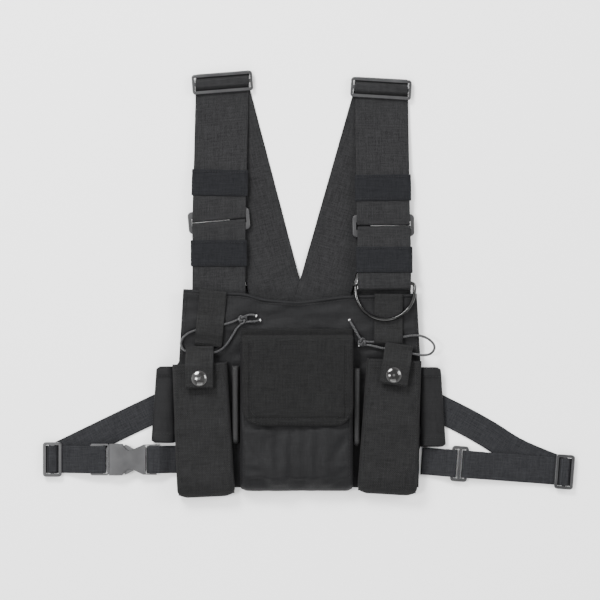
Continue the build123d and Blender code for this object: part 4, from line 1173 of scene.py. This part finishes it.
# ---- flap ----
POCKET_SLOPE = atan(7.0 / 83.0)
FLAP_ACROSS = -2.2
FLAP_UP = -7.0
FLAP_OUT = 13.0 - (FLAP_UP + 12.0) * tan(POCKET_SLOPE) + 4.3 / cos(POCKET_SLOPE)
FLAP_HALF = 52.7
FLAP_LENGTH = 83.3
FLAP_CORNER = 19.0
flap_end = (FLAP_UP - FLAP_LENGTH * cos(POCKET_SLOPE), FLAP_OUT + FLAP_LENGTH * sin(POCKET_SLOPE))
SEAM_OUT = PANEL + 0.75
flap_path = rounded([(1.5, SEAM_OUT), (-5.6, SEAM_OUT), (-7.6, FLAP_OUT + 0.2), flap_end], [1.5, 3.2], 1.3)
flap_normals = path_normals(flap_path)
flap_lengths = distances(flap_path)
FLAP_RUN = flap_lengths[-1]


def flap_spot(x, distance, raise_by=0.0):
    """The flap's surface, x off its middle and a distance down from its sewn top: (point, out)."""
    k = min(range(len(flap_path)), key=lambda n: abs(flap_lengths[n] - distance))
    k2 = min(k + 1, len(flap_path) - 1)
    run = flap_lengths[k2] - flap_lengths[k]
    p = flap_path[k].lerp(flap_path[k2], (distance - flap_lengths[k]) / run) if run else flap_path[k]
    n = -flap_normals[k]
    edge = min(FLAP_HALF - abs(x), FLAP_RUN - distance)
    puff = 0.7 * min(1.0, edge / 12.0)
    hem = 0.55 * clamp((6.9 - edge) / 0.8) * min(1.0, edge / 1.5)
    groove = -1.2 * exp(-((edge - 7.6) / 0.95) ** 2)
    sag = ripple(x * 0.03, distance * 0.035, 3.3) * 0.55
    curl = -0.5 * max(0.0, 1 - edge / 5.0)
    offset = (puff + hem + groove + sag + curl) * clamp((distance - 20) / 9) + raise_by
    return PACK.at(FLAP_ACROSS + x, p.x + n.x * offset, p.y + n.y * offset), \
        (PACK.along * n.x + PACK.out * n.y).normalized()


def flap_point(a, b):
    distance = FLAP_RUN * b
    x = (FLAP_HALF - arc_drop(FLAP_CORNER, FLAP_CORNER - FLAP_RUN + distance)) * (2 * a - 1)
    return *flap_spot(x, distance), (x * MM, distance * MM)


flap = sheet_grid("flap_cloth", 112, 92, flap_point, 2.1)
hinged_piece(flap, flap_cloth, ["centre_flap", "flap_seam_tape"],
             PACK.at(0, -4.6, 12.0), PACK.at(0, -10.0, 17.5))

flap_rows = []
for inset in (2.2, 7.6):
    corner, straight = FLAP_CORNER - inset, FLAP_RUN - FLAP_CORNER
    line = [(inset - FLAP_HALF, distance) for distance in spread(23.0, straight, 24)]
    line += [(FLAP_CORNER - FLAP_HALF - corner * cos(a), straight + corner * sin(a))
             for a in spread(0.0, pi / 2, 8)[1:]]
    spots = [flap_spot(x, d, 1.12) for x, d in line + [(-x, d) for x, d in line[::-1]]]
    flap_rows.append(([point for point, _ in spots], spots[12][1]))
sew("flap_stitching", flap_rows, "pack_fabric", "flap", 3.0, 2.2, 0.2)


def pile(name, out, body, node):
    """A strip of hook or loop tape on the flap's slope."""
    along = PACK.along * cos(POCKET_SLOPE) - PACK.out * sin(POCKET_SLOPE)
    place = Frame(PACK.at(FLAP_ACROSS, FLAP_UP, FLAP_OUT), along,
                  PACK.out * cos(POCKET_SLOPE) + PACK.along * sin(POCKET_SLOPE))

    def point(a, b):
        x, y = -25 + 50 * a, -76 + 16 * b
        return place.at(x, y, out + ripple(x * 1.3, y * 1.3, out) * 0.12), place.out, (x * MM, y * MM)

    finish_piece(sheet_grid(name, 60, 20, point, 1.2), hook_cloth, "hook_and_loop", body, node)


pile("hook_tape", -1.9, "flap", "flap_hook_strip")
pile("loop_tape", -3.6, "pack", "pocket_loop_strip")

# ---- retention strips ----
FLAT = PANEL + 0.05 + WEB / 2
OVER_CORD = PANEL + 0.15 + CORD + 0.4 + WEB / 2
left_place = on_pack(-82.6, 34.0, -5.5)
right_place = on_pack(84.3, 31.0, -0.5)
STRIP = (tab_cloth, "waist_webbing")
webbing("left_retention_webbing", "left_retention_strip", *STRIP, left_place, [
    (4.0, 5.35), (1.5, 5.35), (-3.0, FLAT), (-20.0, FLAT), (-27.0, OVER_CORD), (-37.0, OVER_CORD),
    (-44.0, FLAT), (-49.5, FLAT),
], [3, 3, 12, 12, 12, 10], WAIST_WIDTH, seed=12.0, lift=0.1)
webbing("right_retention_webbing", "right_retention_strip", *STRIP, right_place, [
    (3.6, 5.35), (1.0, 5.35), (-3.0, FLAT), (-29.5, FLAT), (-36.0, OVER_CORD), (-43.5, OVER_CORD),
], [3, 3, 12, 10], WAIST_WIDTH + 1, seed=13.0, lift=0.1)
strip_rows = [([place.at(x, -down, FLAT + 0.78) for x in spread(-11.5, 11.5, 12)], place.out)
              for place, down in ((left_place, 46.5), (left_place, 48.5), (right_place, 28.0))]
sew("strip_stitching", strip_rows, "waist_webbing", "pack", 2.6, 2.0, 0.2)


# ---- snap tabs ----
TAB_WIDTH = 26.4
TAB_LAYER = 0.78           # from the tab's middle to the middle of one of its two layers
TAB_SEAM = 11.6            # its stitching, off the middle line


def tab(side, place, corner, end, top, seed):
    """A webbing tab folded at its top round the elastic."""
    slope = (end[1] - corner[1]) / (corner[0] - end[0])
    points = [
        (end[0], end[1] - TAB_LAYER), (corner[0] - 0.6, corner[1] - TAB_LAYER), (-2.9, 9.2), (-1.0, 5.75),
        (top, 5.75), (top, 9.1), (1.6, 9.6), (corner[0] + 0.8, corner[1] + TAB_LAYER),
        (end[0], end[1] + TAB_LAYER),
    ]
    piece = strap(f"{side}_tab_webbing", place, points, [3, 2, 2, 1.6, 1.6, 3, 4], TAB_WIDTH, seed=seed,
                  lift=0.05, thickness=1.45)
    hinged_piece(piece, tab_cloth, [f"{side}_tab"],
                 place.at(0, 0.6, 8.0), place.at(0, -8.5, 14.0))

    def seam(start, stop):
        """A row of stitches between two (across, down) points of the tab's face."""
        spots = zip(*(spread(a, b, 12) for a, b in zip(start, stop)))
        return [place.at(x, -down, corner[1] + (corner[0] + down) * slope + TAB_LAYER + 0.75)
                for x, down in spots], place.out

    first, last = 15.5, -end[0] - 1.8
    rows = [seam((-TAB_SEAM, down), (TAB_SEAM, down)) for down in (first, last)]
    rows += [seam((x, first), (x, last)) for x in (-TAB_SEAM, TAB_SEAM)]
    sew(f"{side}_tab_stitching", rows, "waist_webbing", f"{side}_tab", 2.6, 2.0, 0.2)


tab("left", on_pack(-95.2, -20.6), (-12.4, 19.8), (-33.4, 21.5), 5.0, 14.0)
tab("right", on_pack(93.2, -19.5, -9.3), (-9.8, 20.2), (-31.6, 22.0), 6.0, 15.0)
